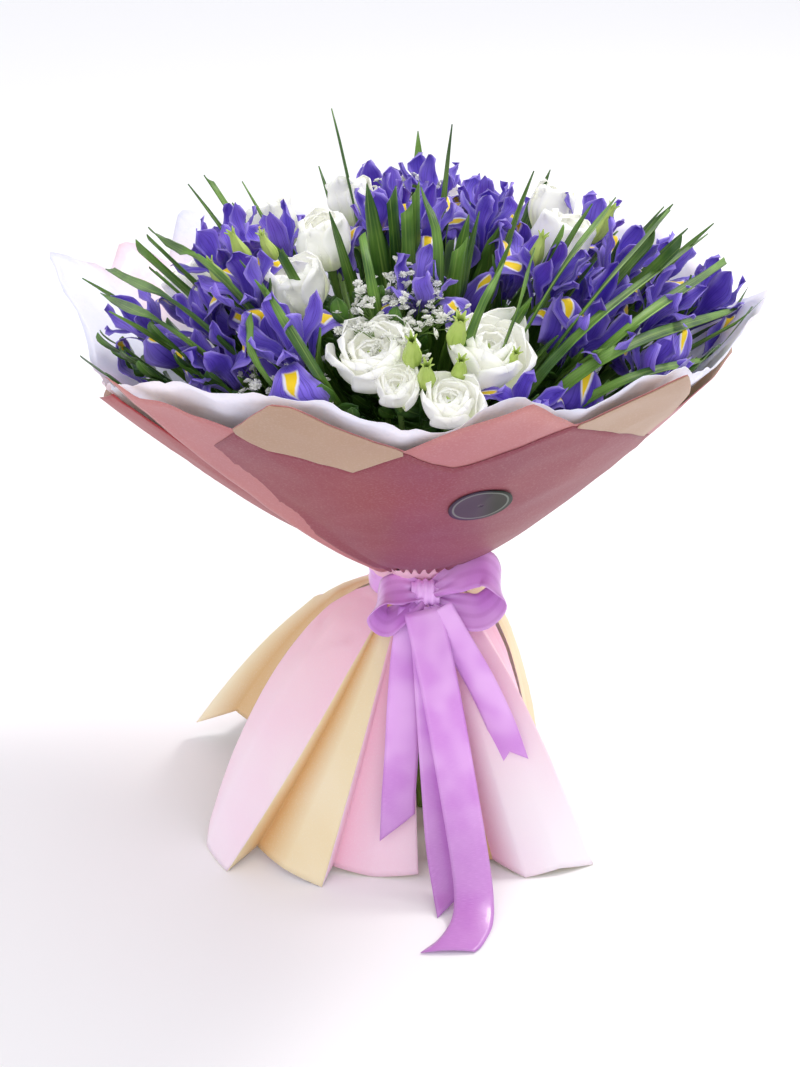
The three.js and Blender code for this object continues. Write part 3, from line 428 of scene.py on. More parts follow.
NECK_TOP = 200
NECK_LOW = 176
NECK_RADIUS = 31.2
NECK_WIDE = 33.2
NECK_SHARE = 0.12
LAYER = 1.2
BOWL_RISE = 0.1775
BOWL_POWER = 1.28
RIGHT_STEEPER = 0.0225
FRONT_STEEPER = 0.0535
TISSUE_DROOP = 0.02
TISSUE_RIM = [
    (-176, 220), (-165, 217), (-154, 224), (-144, 234), (-136, 240), (-129, 236), (-120, 227),
    (-112, 231), (-104, 227), (-93, 205), (-86, 200), (-74, 217), (-64, 203), (-52, 220),
    (-33, 208), (-24, 208), (-9, 230), (-2, 239), (10, 220), (33, 236), (50, 245), (66, 241),
    (82, 250), (98, 249), (113, 262), (124, 259), (132, 276), (139, 252), (146, 271),
    (153, 256), (162, 283), (170, 244), (184, 220),
]


def grid_mesh(name, rows, columns, corner, closed=False, loose=None):
    """A surface of rows and columns of points, with a map of where each point is on it.
    corner(u, v) gives a point in millimetres, and loose(u) how far paper may crumple."""
    wide = columns if closed else columns + 1
    places = [(r / rows, c / columns) for r in range(rows + 1) for c in range(wide)]
    squares = [[(r, c), (r, c + 1), (r + 1, c + 1), (r + 1, c)]
               for r in range(rows) for c in range(columns)]
    mesh = bpy.data.meshes.new(name)
    mesh.from_pydata([tuple(Vector(corner(u, v)) * MM) for u, v in places], [],
                     [[r * wide + c % wide for r, c in square] for square in squares])
    flat = np.array(squares, np.float32) / np.array((rows, columns), np.float32)
    mesh.uv_layers.new(name="flat").data.foreach_set("uv", flat.ravel())
    mesh.shade_smooth()
    if loose:
        mark(mesh, "loose", [loose(u) for u, _ in places])
    return mesh


def thicken(mesh, thick, back=0):
    """Gives a surface its thickness, as a closed shell. back is where the material of its
    back stands after that of its front."""
    def prepare(solid):
        solid.thickness = thick * MM
        solid.offset = 0.0
        solid.material_offset = back

    return baked(mesh.name, mesh, "SOLIDIFY", prepare)


# Crumples paper: noise in space lifts a sheet along one direction, so sheets that lie on
# each other move together and don't cross.
crumple = Tree("crumple_paper", Lift="Float", Waves="Float", Crease="Float")
crumple_place = crumple.node("GeometryNodeInputPosition", {})
crumple_soft = crumple.noise(crumple_place, crumple.given["Waves"], 1.0) - 0.5
crumple_sharp = (crumple.noise(crumple_place, crumple.given["Waves"] * 2.6, 0.0) - 0.5).size() - 0.1
crumple_amount = (crumple_soft * crumple.given["Lift"] * 2
                  + crumple_sharp * crumple.given["Crease"] * 2) * crumple.named("loose")
crumple_in = crumple.vector("NORMALIZE", crumple.vector("MULTIPLY", crumple_place, (-1.0, -1.0, 0.0)))
crumple_up = crumple.vector("ADD", crumple_in, (0.0, 0.0, 1.6))
crumple.give(crumple.node("GeometryNodeSetPosition", {
    "Geometry": crumple.given["Geometry"],
    "Offset": crumple.vector("MULTIPLY", crumple_up, crumple_amount * 0.5)}))


def paper_piece(name, surface, materials, thick, lift, waves, crease):
    """A crumpled sheet of paper. A second material is on its back."""
    shaped = crumple.run(name + "_crumpled", surface, Lift=lift, Waves=waves, Crease=crease)
    for material in materials:
        shaped.materials.append(material)
    return new_piece(name, thicken(shaped, thick, min(1, len(materials) - 1)))


def neck_at(z):
    return NECK_RADIUS + (NECK_WIDE - NECK_RADIUS) * max(z - NECK_LOW, 0) / (NECK_TOP - NECK_LOW)


def up_bowl(share):
    """How far up the bowl a share of a collar's height is."""
    return max(0.0, (share - NECK_SHARE) / (1 - NECK_SHARE))


def bowl_rise(turn):
    across, back = np.cos(np.radians(turn)), np.sin(np.radians(turn))
    return BOWL_RISE + RIGHT_STEEPER * across + FRONT_STEEPER * np.maximum(0.0, -back)


def bowl_height(radius, turn):
    return NECK_TOP + bowl_rise(turn) * max(radius - NECK_WIDE, 0) ** BOWL_POWER


def collar_point(share, turn, edge, droop, inward):
    """A point of a collar, inward millimetres inside its outer face. share runs from the
    bottom of the neck, 0, to the rim, 1."""
    if share < NECK_SHARE:
        z = NECK_LOW + (NECK_TOP - NECK_LOW) * share / NECK_SHARE
        return polar(neck_at(z) - inward, turn, z)
    step = up_bowl(share)
    radius = NECK_WIDE + (edge - NECK_WIDE) * step
    slope = math.atan(bowl_rise(turn) * BOWL_POWER * max(radius - 33, 1) ** (BOWL_POWER - 1))
    turn_in = min(1.0, step * 12)
    out = inward * (1 - turn_in * (1 - math.sin(slope)))
    rise = inward * turn_in * math.cos(slope) + droop * (radius - NECK_RADIUS)
    return polar(radius - out, turn, bowl_height(radius, turn) + rise)


def rim_at(rim, turn):
    return np.interp(turn, *zip(*rim))


def tissue_corner(u, v):
    turn = TISSUE_RIM[0][0] + 360 * v
    step = up_bowl(u)
    place = collar_point(u, turn, rim_at(TISSUE_RIM, turn), TISSUE_DROOP, 2 * LAYER)
    fold = 8 * step ** 2 * abs(turn / 20 % 2 - 1)
    pleat = 3 * step * abs(turn / 6.5 % 2 - 1)
    return place + Vector((0, 0, fold + pleat))


pearl = Finish("pearl_tissue", roughness=0.38, specular_ior_level=0.5, sheen_weight=0.3,
               subsurface_weight=0.1)
pearl_tone = pearl.mottle(9)
pearl_blush = (1 - pearl.place(0).step(-0.21, -0.16)) * pearl_tone.step(0.42, 0.58)
pearl.paint((232, 232, 252), (pearl_tone.step(0.35, 0.65), (255, 244, 252)),
            (pearl_blush * 0.8, (250, 206, 222)),
            (pearl.mottle(420, 3).step(0.5, 0.75) * 0.25, (214, 218, 242)))
pearl.bump(pearl.mottle(60, 4), 0.002, 0.45)

tissue_surface = grid_mesh("tissue_surface", 36, 288, tissue_corner, True,
                           lambda u: max(0.0, u - NECK_SHARE) ** 1.4)
tissue = paper_piece("tissue", tissue_surface, [pearl.material], 0.35, 0.006, 14.0, 0.007)
dress(tissue, "tissue_collar")

# Outer wrap -----------------------------------------------
# Two sheets of frosted wrap, dusty mauve outside and tan inside. The front one laps over
# the back one, and its corners are turned out, so that the tan side shows along the rim.

FRONT_RIM = [
    (-140, 252), (-136.5, 239), (-132, 237), (-121.5, 219), (-112, 238), (-109, 236),
    (-101, 216), (-93, 199), (-87, 208), (-80.5, 217), (-73.5, 226), (-69, 217),
    (-63, 205), (-54, 217), (-44, 226), (-35, 207), (-32, 182),
]
BACK_RIM = [
    (-46, 174), (-34, 180), (-28, 194), (-16, 204), (-6, 214), (9, 219), (23, 224), (38, 230), (54, 228),
    (68, 236), (84, 247), (100, 244), (113, 252), (126, 254), (139, 240), (150, 232),
    (162, 226), (176, 218), (190, 218), (204, 228), (216, 238),
]
# Upper edge of the second layer of the front sheet, which makes the paper look darker.
SECOND_LAYER = [
    (-134, 198), (-122, 218), (-117, 205), (-110, 196), (-103, 186), (-93, 198.5), (-88, 188.5),
    (-84, 184), (-80.8, 186), (-72.8, 195), (-63.5, 205), (-56, 197), (-45, 188), (-36, 178),
    (-32, 176),
]
# Lower edges of the corners that are turned out and show the tan side.
LEFT_CORNER = [(-121, 217), (-117, 205), (-110, 196), (-103, 186), (-93.2, 197)]
RIGHT_CORNER = [(-62.5, 203.5), (-56, 196), (-45, 187), (-36, 178), (-33, 190)]
NECK_GATHER = 2.4
EDGE_STANDS_OFF = 5
SHEET = 0.4
FRONT_MIDDLE = -93
LEFT_NARROWS = 0.6
RIGHT_NARROWS = 0.84
BACK_LAPS = 24


def wrap_paper(name, shade, pale, roughness=0.45, painted_slit_shade=0.0):
    """painted_slit_shade gives the end of the sheet that shows in the slit under the free edge a painted
    shade, dark red as with light through the paper.
    """
    paper = Finish(name, roughness=roughness, specular_ior_level=0.3, sheen_weight=0.05,
                   subsurface_weight=0.08)
    paper.paint(shade, (paper.mottle(7).step(0.3, 0.7), pale),
                (paper.flat(1).step(0.87, 0.92) * painted_slit_shade, (150, 20, 34)),
                (paper.mottle(700).step(0.45, 0.8) * 0.1, (240, 214, 210)))
    paper.bump(paper.mottle(40, 3), 0.0014, 0.35)
    return paper.material


mauve_paper = wrap_paper("mauve_wrap", (134, 60, 76), (146, 66, 74))
# The back sheet carries the painted shade in the slit under the front sheet's free edge.
back_paper = wrap_paper("back_wrap_paper", (170, 96, 104), (184, 108, 112), painted_slit_shade=1.0)
pale_paper = wrap_paper("pale_mauve_wrap", (182, 112, 116), (192, 122, 122))
tan_paper = wrap_paper("tan_wrap", (176, 142, 118), (190, 160, 136), 0.5)


def front_turn(turn, share):
    """The front sheet narrows towards the neck, most on its left."""
    least = LEFT_NARROWS if turn < FRONT_MIDDLE else RIGHT_NARROWS
    return FRONT_MIDDLE + (turn - FRONT_MIDDLE) * (least + (1 - least) * up_bowl(share))


def layer_turn(turn, share):
    """The second layer ends a little inside the edge of the front sheet."""
    return front_turn(turn, min(1.0, share * 0.92) if turn < FRONT_MIDDLE else share)


def back_turn(turn, share):
    """The back sheet laps under the front one near the neck."""
    return turn + BACK_LAPS * (1 - up_bowl(share)) * max(0.0, (turn - 150) / 66)


def corner_turn(turn, share):
    return turn


def collar_sheet(name, rim, turn_at, inward, columns, materials, lower=None):
    """A sheet of the wrap from the neck, or from a lower edge, to its rim."""
    low, high = (lower or rim)[0][0], (lower or rim)[-1][0]

    def corner(u, v):
        turn = low + (high - low) * v
        edge = rim_at(rim, turn)
        share = u
        if lower:
            start = (rim_at(lower, turn) - NECK_WIDE) / (edge - NECK_WIDE)
            share = NECK_SHARE + (1 - NECK_SHARE) * (start + (1 - start) * u)
        gather = NECK_GATHER * math.sin(turn * 0.62) * math.exp(-((share - 0.16) / 0.05) ** 2)
        stand_off = EDGE_STANDS_OFF * min(1.0, max(0.0, (-128 - turn) / 10)) * math.sin(math.pi * share)
        return collar_point(share, turn_at(turn, share), edge, 0.0, inward - gather - stand_off)

    surface = grid_mesh(name + "_surface", 40, columns, corner,
                        loose=lambda u: 0.8 if lower else max(0.0, u - NECK_SHARE))
    return paper_piece(name, surface, materials, SHEET, 0.003, 9.0, 0.003)


for name, node, *sheet in (
        ("back_wrap", "wrap_back", BACK_RIM, back_turn, LAYER, 190, [back_paper, tan_paper]),
        ("front_wrap", "wrap_front", FRONT_RIM, front_turn, 0.0, 110, [pale_paper, tan_paper]),
        ("second_layer", "wrap_front", SECOND_LAYER, layer_turn, -0.6, 110, [mauve_paper] * 2),
        ("left_corner", "wrap_front", FRONT_RIM, corner_turn, -1.2, 40, [tan_paper] * 2, LEFT_CORNER),
        ("right_corner", "wrap_front", FRONT_RIM, corner_turn, -1.2, 40, [tan_paper] * 2, RIGHT_CORNER)):
    dress(collar_sheet(name, *sheet), node)

# Label ----------------------------------------------------
# A small dark round sticker on the front of the wrapping, low in gloss and without words.

LABEL_TURN = -75
LABEL_RADIUS = 147
LABEL_SIZE = 42
LABEL_THICK = 0.5
LABEL_LIFT = 1.4
LABEL_REACH = 8

label_out = polar(1, LABEL_TURN, 0)
label_across = Vector((-label_out.y, label_out.x, 0))
label_low, label_high = [bowl_height(LABEL_RADIUS + way * LABEL_REACH, LABEL_TURN) for way in (-1, 1)]
label_slope = (label_out * 2 * LABEL_REACH + Vector((0, 0, label_high - label_low))).normalized()
label_centre = (polar(LABEL_RADIUS, LABEL_TURN, bowl_height(LABEL_RADIUS, LABEL_TURN))
                + label_across.cross(label_slope).normalized() * LABEL_LIFT)


def label_corner(u, v):
    size = LABEL_SIZE / 2 * max(u, 0.02)
    angle = math.tau * v
    return label_centre + label_across * size * math.cos(angle) + label_slope * size * math.sin(angle)


dark = Finish("label_gloss", roughness=0.45, specular_ior_level=0.3)
dark_ring = dark.flat(0).step(0.82, 0.84) * (1 - dark.flat(0).step(0.88, 0.90))
# The left part of the sticker is lighter and purplish: a painted reflection.
dark.paint((6, 22, 10), (dark.mottle(120), (16, 34, 20)),
           (1 - dark.place(0).step(0.035, 0.05), (60, 46, 66)), (dark_ring * 0.45, (150, 160, 150)))

sticker_surface = grid_mesh("sticker_surface", 8, 64, label_corner, True, lambda u: 0.52)
sticker = paper_piece("sticker", sticker_surface, [dark.material], LABEL_THICK, 0.003, 9.0, 0.003)
dress(sticker, "label")

# Strap leaves ---------------------------------------------
# Long narrow iris leaves with a keel, tapered to a point. They stand up past the blooms and
# arch outward, with pale lines along them. Some were cut across at the tip.

# Turn, lean of the tip, distance of the tip from the tie, width at the middle, how much
# nearer upright the leaf starts (0 to 1), and whether its tip was cut.
LEAVES = [
    (128, 18, 318, 9, 0.88, 0), (-14, 4, 312, 8, 0.91, 0), (-95, 19, 296, 10, 0.92, 1),
    (-112, 17, 306, 13, 0.92, 0), (163, 33, 306, 8, 0.91, 0), (-172, 39, 300, 13, 0.93, 1),
    (174, 50, 306, 9, 0.93, 0), (-158, 46, 300, 9, 0.94, 0), (-128, 34, 296, 11, 0.94, 0),
    (-74, 21, 298, 11, 0.93, 0), (-36, 17, 306, 9, 0.92, 0), (-32, 25, 304, 11, 0.93, 0),
    (-16, 36, 300, 12, 0.94, 1), (12, 36, 304, 10, 0.93, 0), (4, 40, 312, 9, 0.94, 0),
    (-9, 50, 302, 12, 0.94, 0), (-26, 52, 272, 14, 0.95, 0), (90, 22, 300, 11, 0.92, 0),
    (82, 42, 296, 13, 0.94, 0), (112, 50, 290, 12, 0.95, 0),
    (-171, 37, 300, 11, 0.93, 1), (-140, 31, 288, 10, 0.93, 0), (160, 31, 302, 8, 0.92, 1),
    (158, 27, 290, 7, 0.92, 0), (-92, 16, 300, 9, 0.92, 1), (-104, 15, 292, 11, 0.92, 1),
    (-63, 25, 292, 11, 0.93, 0), (-64, 33, 282, 13, 0.94, 0), (7, 34, 300, 9, 0.93, 0),
    (0, 37, 300, 9, 0.93, 0), (-17, 33, 292, 11, 0.93, 1), (-46, 26, 292, 10, 0.93, 1),
    (-43, 31, 292, 10, 0.93, 0), (-166, 39, 288, 9, 0.93, 1), (-142, 43, 272, 10, 0.94, 0),
    (-77, 23, 282, 12, 0.93, 1), (-69, 20, 296, 9, 0.92, 0), (-44, 41, 286, 12, 0.94, 0),
    (-60, 38, 272, 14, 0.94, 0), (-131, 28, 286, 10, 0.93, 1), (-125, 20, 292, 9, 0.92, 0),
    (-53, 42, 280, 12, 0.94, 1), (6, 48, 288, 9, 0.94, 0), (-80, 30, 262, 14, 0.93, 0),
    (-110, 27, 258, 13, 0.93, 0), (-24, 44, 268, 14, 0.94, 0), (40, 25, 286, 10, 0.92, 0),
    (60, 38, 284, 11, 0.94, 0), (140, 38, 286, 11, 0.94, 0), (120, 30, 288, 10, 0.93, 0),
]
# Leaves that cross in front of the blooms: a place on the way and the tip, each as turn,
# lean and distance from the tie, and the width.
CROSSING_LEAVES = [
    ((-56, 43, 262), (5, 52, 290), 7), ((-53, 46, 255), (-5, 55, 275), 6),
    ((-60, 40, 266), (10, 42, 303), 7), ((-55, 37, 268), (-5, 33, 305), 7),
    ((-60, 33, 270), (-14, 26, 300), 7),
    ((-49, 41, 264), (8, 46, 298), 7), ((-142, 43, 266), (174, 50, 290), 7),
    ((-142, 40, 268), (172, 47, 295), 7), ((-111, 42, 262), (-129, 33, 286), 7),
    ((-121, 44, 262), (-130, 37, 276), 7), ((-79, 36, 262), (-68, 28, 288), 7),
    ((-103, 29, 262), (-110, 22, 286), 7), ((-71, 37, 264), (-58, 27, 292), 7),
    ((-140, 34, 268), (-179, 37, 298), 7), ((-84, 24, 268), (-90, 16, 302), 7),
]
LEAF_ROOT = 34
LEAF_ROWS = 26
LEAF_COLUMNS = 6
LEAF_THICK = 0.9
# What hangs lower than the tissue is held up over it: how clear it lies at the neck, how much
# more at the rim, how softly the lift begins, and where it begins and ends.
LIFTED_CLEAR = 2.5
LIFTED_AT_RIM = 12
LIFT_EASE = 4
LIFT_FROM = 40
LIFT_PAST_RIM = 14


def smooth_through(points, count):
    """A smooth curve through points, as count points at even distances."""
    points = np.array([tuple(p) for p in points], float)
    ends = np.vstack([2 * points[0] - points[1], points, 2 * points[-1] - points[-2]])
    fine = []
    for k in range(len(points) - 1):
        a, b, c, d = ends[k:k + 4]
        for t in np.linspace(0, 1, 16, endpoint=False):
            fine.append(0.5 * (2 * b + (c - a) * t + (2 * a - 5 * b + 4 * c - d) * t ** 2
                               + (3 * b - a - 3 * c + d) * t ** 3))
    fine = np.array(fine + [points[-1]])
    along = np.concatenate([[0], np.cumsum(np.linalg.norm(np.diff(fine, axis=0), axis=1))])
    even = np.linspace(0, along[-1], count)
    return np.stack([np.interp(even, along, fine[:, k]) for k in range(fine.shape[1])], 1)


def join_meshes(name, meshes):
    """One piece from several meshes."""
    parts = [new_piece(f"{name}_part", mesh) for mesh in meshes]
    with bpy.context.temp_override(active_object=parts[0], selected_editable_objects=parts):
        bpy.ops.object.join()
    parts[0].name = name
    return parts[0]


def lift_clear(mesh):
    """Lifts what would hang through the tissue to just above it, as the paper holds it up."""
    flat = np.zeros(len(mesh.vertices) * 3)
    mesh.vertices.foreach_get("co", flat)
    place = flat.reshape(-1, 3)
    radius = np.hypot(place[:, 0], place[:, 1]) / MM
    turn = np.degrees(np.arctan2(place[:, 1], place[:, 0]))
    turn = np.where(turn < TISSUE_RIM[0][0], turn + 360, turn)
    rim = rim_at(TISSUE_RIM, turn)
    out = radius - NECK_RADIUS
    inside = NECK_TOP + bowl_rise(turn) * np.maximum(out, 0) ** BOWL_POWER + TISSUE_DROOP * out
    inside += LIFTED_AT_RIM * np.clip(out / (rim - NECK_RADIUS), 0, 1) ** 2 + LIFTED_CLEAR
    above = place[:, 2] / MM - inside
    eased = LIFT_EASE * np.exp((np.minimum(above, LIFT_EASE) - LIFT_EASE) / LIFT_EASE)
    eased = np.where(above < LIFT_EASE, eased, above)
    held = (radius > LIFT_FROM) & (radius < rim + LIFT_PAST_RIM)
    place[:, 2] = np.where(held, (inside + eased) * MM, place[:, 2])
    mesh.vertices.foreach_set("co", place.ravel())
    mesh.update()
    return mesh


def across_at(turn):
    return polar(1, turn + 90, 0)


def reach_line(root, turn, lean, reach, leaving, steps, arriving):
    """The line of a leaf or sprig from near the tie. leaving and arriving are shares of its
    lean, at its root and its tip."""
    start = TIE + aim(turn, lean * 0.8) * root
    end = TIE + aim(turn, lean) * reach
    return rising_line(start, end, aim(turn, lean * arriving), aim(turn, lean * leaving), steps)


def crossing_line(passing, tip):
    root = TIE + aim(passing[0], passing[1] * 0.8) * LEAF_ROOT
    places = [root] + [TIE + aim(turn, lean) * reach for turn, lean, reach in (passing, tip)]
    return [Vector(place) for place in smooth_through(places, LEAF_ROWS + 1)]


def strap_leaf(k, line, turn, width, cut):
    sideways = across_at(turn + 25)
    shares = np.interp(np.linspace(0, 1, LEAF_ROWS + 1), [0, 0.25, 0.5, 0.8, 0.93, 1],
                       [0.6, 0.95, 1.15, 1.05, 0.65, 0.04])

    def corner(u, v):
        r = round(u * LEAF_ROWS)
        along = (line[min(r + 1, LEAF_ROWS)] - line[max(r - 1, 0)]).normalized()
        across = (sideways - along * sideways.dot(along)).normalized()
        lift = across.cross(along)
        across = Matrix.Rotation(0.5 * math.sin(2.2 * u + k), 3, along) @ across
        half = width * max(shares[r], 0.75 * cut) / 2
        side = 2 * v - 1
        slant = along * side * half * 1.2 * cut * max(0, u - 0.9) * 10
        return line[r] + across * side * half - lift * (0.34 * half * side * side) + slant

    return lift_clear(thicken(grid_mesh("strap_leaf", LEAF_ROWS, LEAF_COLUMNS, corner), LEAF_THICK))


strap = Finish("strap_leaf_skin", roughness=0.42, specular_ior_level=0.45)
strap_lines = strap.fibre(strap.flat(), (1.5, 26, 1), 1)
strap.paint((48, 90, 28), (strap.mottle(26).step(0.35, 0.68), (104, 148, 52)),
            (strap.fibre(strap.flat(), (2, 5, 1)).step(0.5, 0.72) * 0.6, (156, 186, 88)),
            (strap_lines.step(0.5, 0.7) * 0.45, (30, 58, 22)))
strap.bump(strap_lines, 0.0004, 0.7)

strap_leaves = join_meshes("strap_leaves", [
    *[strap_leaf(k, reach_line(LEAF_ROOT, turn, lean, reach, start, LEAF_ROWS, 1.15), turn, width, cut)
      for k, (turn, lean, reach, width, start, cut) in enumerate(LEAVES)],
    *[strap_leaf(k, crossing_line(passing, tip), tip[0], width, k % 2)
      for k, (passing, tip, width) in enumerate(CROSSING_LEAVES)]])
strap_leaves.data.materials.append(strap.material)
dress(strap_leaves, "stems_and_leaves")

# Foliage --------------------------------------------------
# Sprigs of dark oval leaves tucked in low behind the rim, in opposite rows on thin stems.

GOLDEN_TURN = 137.5
SPRIG_ROOT = 46
SPRIG_STEM = 1.2
SPRIG_STEPS = 12
INNER_COUNT = 34
# Turn, lean, distance of the tip, leaves.
SPRIGS = [
    (-152, 49, 250, 7), (-168, 51, 256, 6), (-56, 48, 244, 7), (-14, 50, 244, 5),
    (78, 49, 240, 4), (112, 49, 240, 4),
]
# Sprigs deep in the bowl, between the stems of the flowers.
SPRIGS += [(GOLDEN_TURN * k, 8 + 44 * math.sqrt(k / INNER_COUNT), 222 - 14 * (k % 3), 8)
           for k in range(INNER_COUNT)]
# Sprigs that show between the blooms at the front and over the edge of the tissue.
SPRIGS += [
    (-168, 55, 262, 7), (-164, 50, 268, 7), (-156, 49, 258, 8), (-151, 44, 266, 7),
    (-145, 45, 254, 8), (-136, 45, 248, 8), (-125, 46, 244, 8), (-110, 43, 240, 8),
    (-50, 45, 242, 8), (-56, 40, 244, 7), (-38, 46, 250, 8), (-117, 44, 242, 8),
    (-104, 45, 236, 8), (-153, 53, 259, 7), (-102, 27, 254, 8), (-112, 31, 250, 8),
    (-96, 31, 246, 8), (-90, 41, 238, 8), (-20, 49, 254, 8), (176, 54, 258, 7),
]

templates = []


def blade_template(name, line, widths, cup, ruffle=0.0, waves=3, rows=10, columns=6, thick=0.5,
                   blunt=0.4, notch=0.0, **marks):
    """A leaf or petal that grows along +X and +Z, with its width along Y. line holds the
    places of its middle as (out, up), and widths its width at each of them. It rounds off
    over its last share, blunt. cup lifts the edges, as a share of the width."""
    path = smooth_through([(*place, width) for place, width in zip(line, widths)], rows + 1)
    path[:, 2] = np.maximum(path[:, 2], 0.4)
    slope = np.gradient(path[:, :2], axis=0)
    slope /= np.linalg.norm(slope, axis=1)[:, None]

    def corner(u, v):
        r = round(u * rows)
        out, up, width = path[r]
        side = 2 * v - 1
        ending = max(0.0, (u - 1 + blunt) / blunt)
        half = width / 2 * math.sqrt(max(0.0, 1 - ending ** 2.2)) + 0.15
        pull = notch * max(0.0, 1 - abs(side) * 2.2) * ending
        wave = ruffle * math.sin(waves * math.tau * u + 1.7 * side) * side * side * u
        lift = cup * width * side * side + wave
        along, lifted = slope[r]
        return out - lifted * lift - along * pull, side * half, up + along * lift - lifted * pull

    mesh = thicken(grid_mesh(name, rows, columns, corner), thick)
    reach = np.array([math.hypot(vertex.co.x - path[0][0] * MM, vertex.co.z - path[0][1] * MM)
                      for vertex in mesh.vertices])
    mark(mesh, "loose", reach / reach.max())
    for label, value in marks.items():
        mark(mesh, label, [value] * len(mesh.vertices))
    templates.append(new_piece(name + "_template", mesh))
    return templates[-1]


# Puts a part on each point, turned and sized by the point. Noise in space then bends each
# copy its own way, so that no two are alike.
KINDS = ["First", "Second", "Third"]
spread = Tree("parts_on_points", **dict.fromkeys(KINDS, "Object"), Bend="Float", Waves="Float",
              Seed="Float", Finish="Material")
spread_turned = spread.node("FunctionNodeEulerToRotation", {0: spread.named("turned", "FLOAT_VECTOR")})
spread_join = spread.tree.nodes.new("GeometryNodeJoinGeometry")
for number, name in enumerate(KINDS):
    shape = spread.node("GeometryNodeObjectInfo", {"Object": spread.given[name]}, "Geometry")
    chosen = spread.node("FunctionNodeCompare", {2: spread.named("kind", "INT"), 3: number},
                         data_type="INT", operation="EQUAL")
    copies = spread.node("GeometryNodeInstanceOnPoints", {
        "Points": spread.given["Geometry"], "Selection": chosen, "Instance": shape,
        "Rotation": spread_turned, "Scale": spread.named("grown")})
    spread.put(spread_join.inputs[0], copies)
spread_real = spread.node("GeometryNodeRealizeInstances", {
    "Geometry": Socket(spread, spread_join.outputs[0])})
spread_place = spread.vector("ADD", spread.node("GeometryNodeInputPosition", {}), spread.given["Seed"])
spread_noise = spread.noise(spread_place, spread.given["Waves"], 1.0, "Color")
spread_bend = spread.vector("MULTIPLY", spread.vector("SUBTRACT", spread_noise, (0.5, 0.5, 0.5)),
                            spread.named("loose") * spread.given["Bend"] * 2)
spread.give_real(spread.node("GeometryNodeSetPosition", {
    "Geometry": spread_real, "Offset": spread_bend}))


def grow(name, rows, shapes, bend, waves, seed, finish):
    """One mesh of a shape on each place. rows hold place, turning, size and kind of shape."""
    mesh = bpy.data.meshes.new(name + "_points")
    mesh.from_pydata([tuple(place * MM) for place, *_ in rows], [], [])
    mark(mesh, "turned", [turning.to_euler() for _, turning, *_ in rows], "FLOAT_VECTOR")
    mark(mesh, "grown", [size for *_, size, _ in rows])
    mark(mesh, "kind", [kind for *_, kind in rows], "INT")
    return spread.run(name, mesh, Bend=bend, Waves=waves, Seed=seed, Finish=finish.material,
                      **dict(zip(KINDS, shapes)))


def sprig_leaves(line, turn, lean, leaves):
    across = across_at(turn)
    rows = []
    for k in range(2 * leaves):
        place = (0.42 + 0.57 * k / (2 * leaves - 1)) * SPRIG_STEPS
        before, after = line[int(place)], line[min(int(place) + 1, SPRIG_STEPS)]
        along = (after - line[max(int(place) - 1, 0)]).normalized()
        side = 0 if k == 2 * leaves - 1 else (k % 2) * 2 - 1
        toward = (along * 0.75 + across * side * 0.85).normalized()
        edge = toward.cross(along.cross(across)).normalized()
        leaf = Matrix((toward, edge, toward.cross(edge))).transposed()
        tilt = Matrix.Rotation(0.5 * math.sin(5.0 * k + turn), 3, toward)
        size = 0.8 + 0.2 * math.sin(3.1 * k + lean)
        rows.append((before.lerp(after, place % 1), tilt @ leaf, size, 0))
    return rows


oval = Finish("oval_leaf_skin", roughness=0.38, specular_ior_level=0.5)
oval_rib = 1 - ((oval.flat(1) - 0.5).size() * 2).step(0.0, 0.16)
oval.paint((36, 74, 20), (oval.mottle(45).step(0.3, 0.7), (84, 128, 42)), (oval_rib * 0.5, (130, 160, 80)))
oval.bump(oval_rib, 0.0004, 0.6)

leaflet = blade_template("leaflet", [(0, 0), (6, 0.6), (13, 1.2), (20, 1), (24, -0.6)],
                         [1.6, 9, 11, 11, 6], 0.09, rows=8, columns=4, blunt=0.45)
leaf_rows = []
sprig_lines = []
for turn, lean, reach, leaves in SPRIGS:
    sprig_lines.append(reach_line(SPRIG_ROOT, turn, lean, reach, 0.95, SPRIG_STEPS, 0.9))
    leaf_rows.extend(sprig_leaves(sprig_lines[-1], turn, lean, leaves))
sprig_radii = [[SPRIG_STEM] * len(line) for line in sprig_lines]
foliage = join_meshes("foliage", [
    lift_clear(grow("sprig_leaves", leaf_rows, [leaflet], 0.003, 40.0, 3.0, oval)),
    lift_clear(tubes("sprig_stems", sprig_lines, sprig_radii, 6, oval))])
dress(foliage, "stems_and_leaves")

# Irises ---------------------------------------------------
# Each bloom has three broad falls that arch out and hang, three narrow standards and three
# style arms over the falls. The petals are violet, with a yellow signal edged in white.
# Each stands in two green bracts.

FACES_FRONT = -90
fall = blade_template(
    "fall", [(3.4, 14), (6, 24), (10.5, 33), (16, 39.5), (22.5, 41), (28.5, 36), (32, 27), (33.5, 17),
             (33, 9)],
    [4, 5, 7, 9, 14, 22, 28, 29, 22], -0.05, 1.8, rows=20, columns=10, blunt=0.36, fall=1.0)
standard = blade_template(
    "standard", [(3.6, 20), (6.5, 30), (10, 39), (13, 48), (15, 57), (15.5, 66)],
    [4, 5, 8, 13, 15, 10], 0.16, 2.4, rows=14, columns=8, fall=0.0)
style = blade_template(
    "style", [(2.4, 24), (4.5, 34), (9, 42), (15, 47.5), (20, 52), (22, 58)],
    [4, 6, 8, 10, 12, 12], -0.18, 1.2, 4, rows=12, columns=8, blunt=0.25, notch=6, fall=0.4)
bract = blade_template("bract", [(3, -34), (6.5, -12), (9, 8), (12.5, 28), (18, 46)],
                       [7, 12, 13, 9, 3], 0.2, thick=0.6, blunt=0.5)

violet = Finish("iris_petal", roughness=0.5, specular_ior_level=0.35, sheen_weight=0.25,
                sheen_roughness=0.4, subsurface_weight=0.12, subsurface_scale=1.0,
                subsurface_radius=(0.002, 0.001, 0.004))
violet_side = (violet.flat(1) - 0.5).size() * 2
violet_vein = violet.fibre(violet.flat(), (2.2, 30, 1))
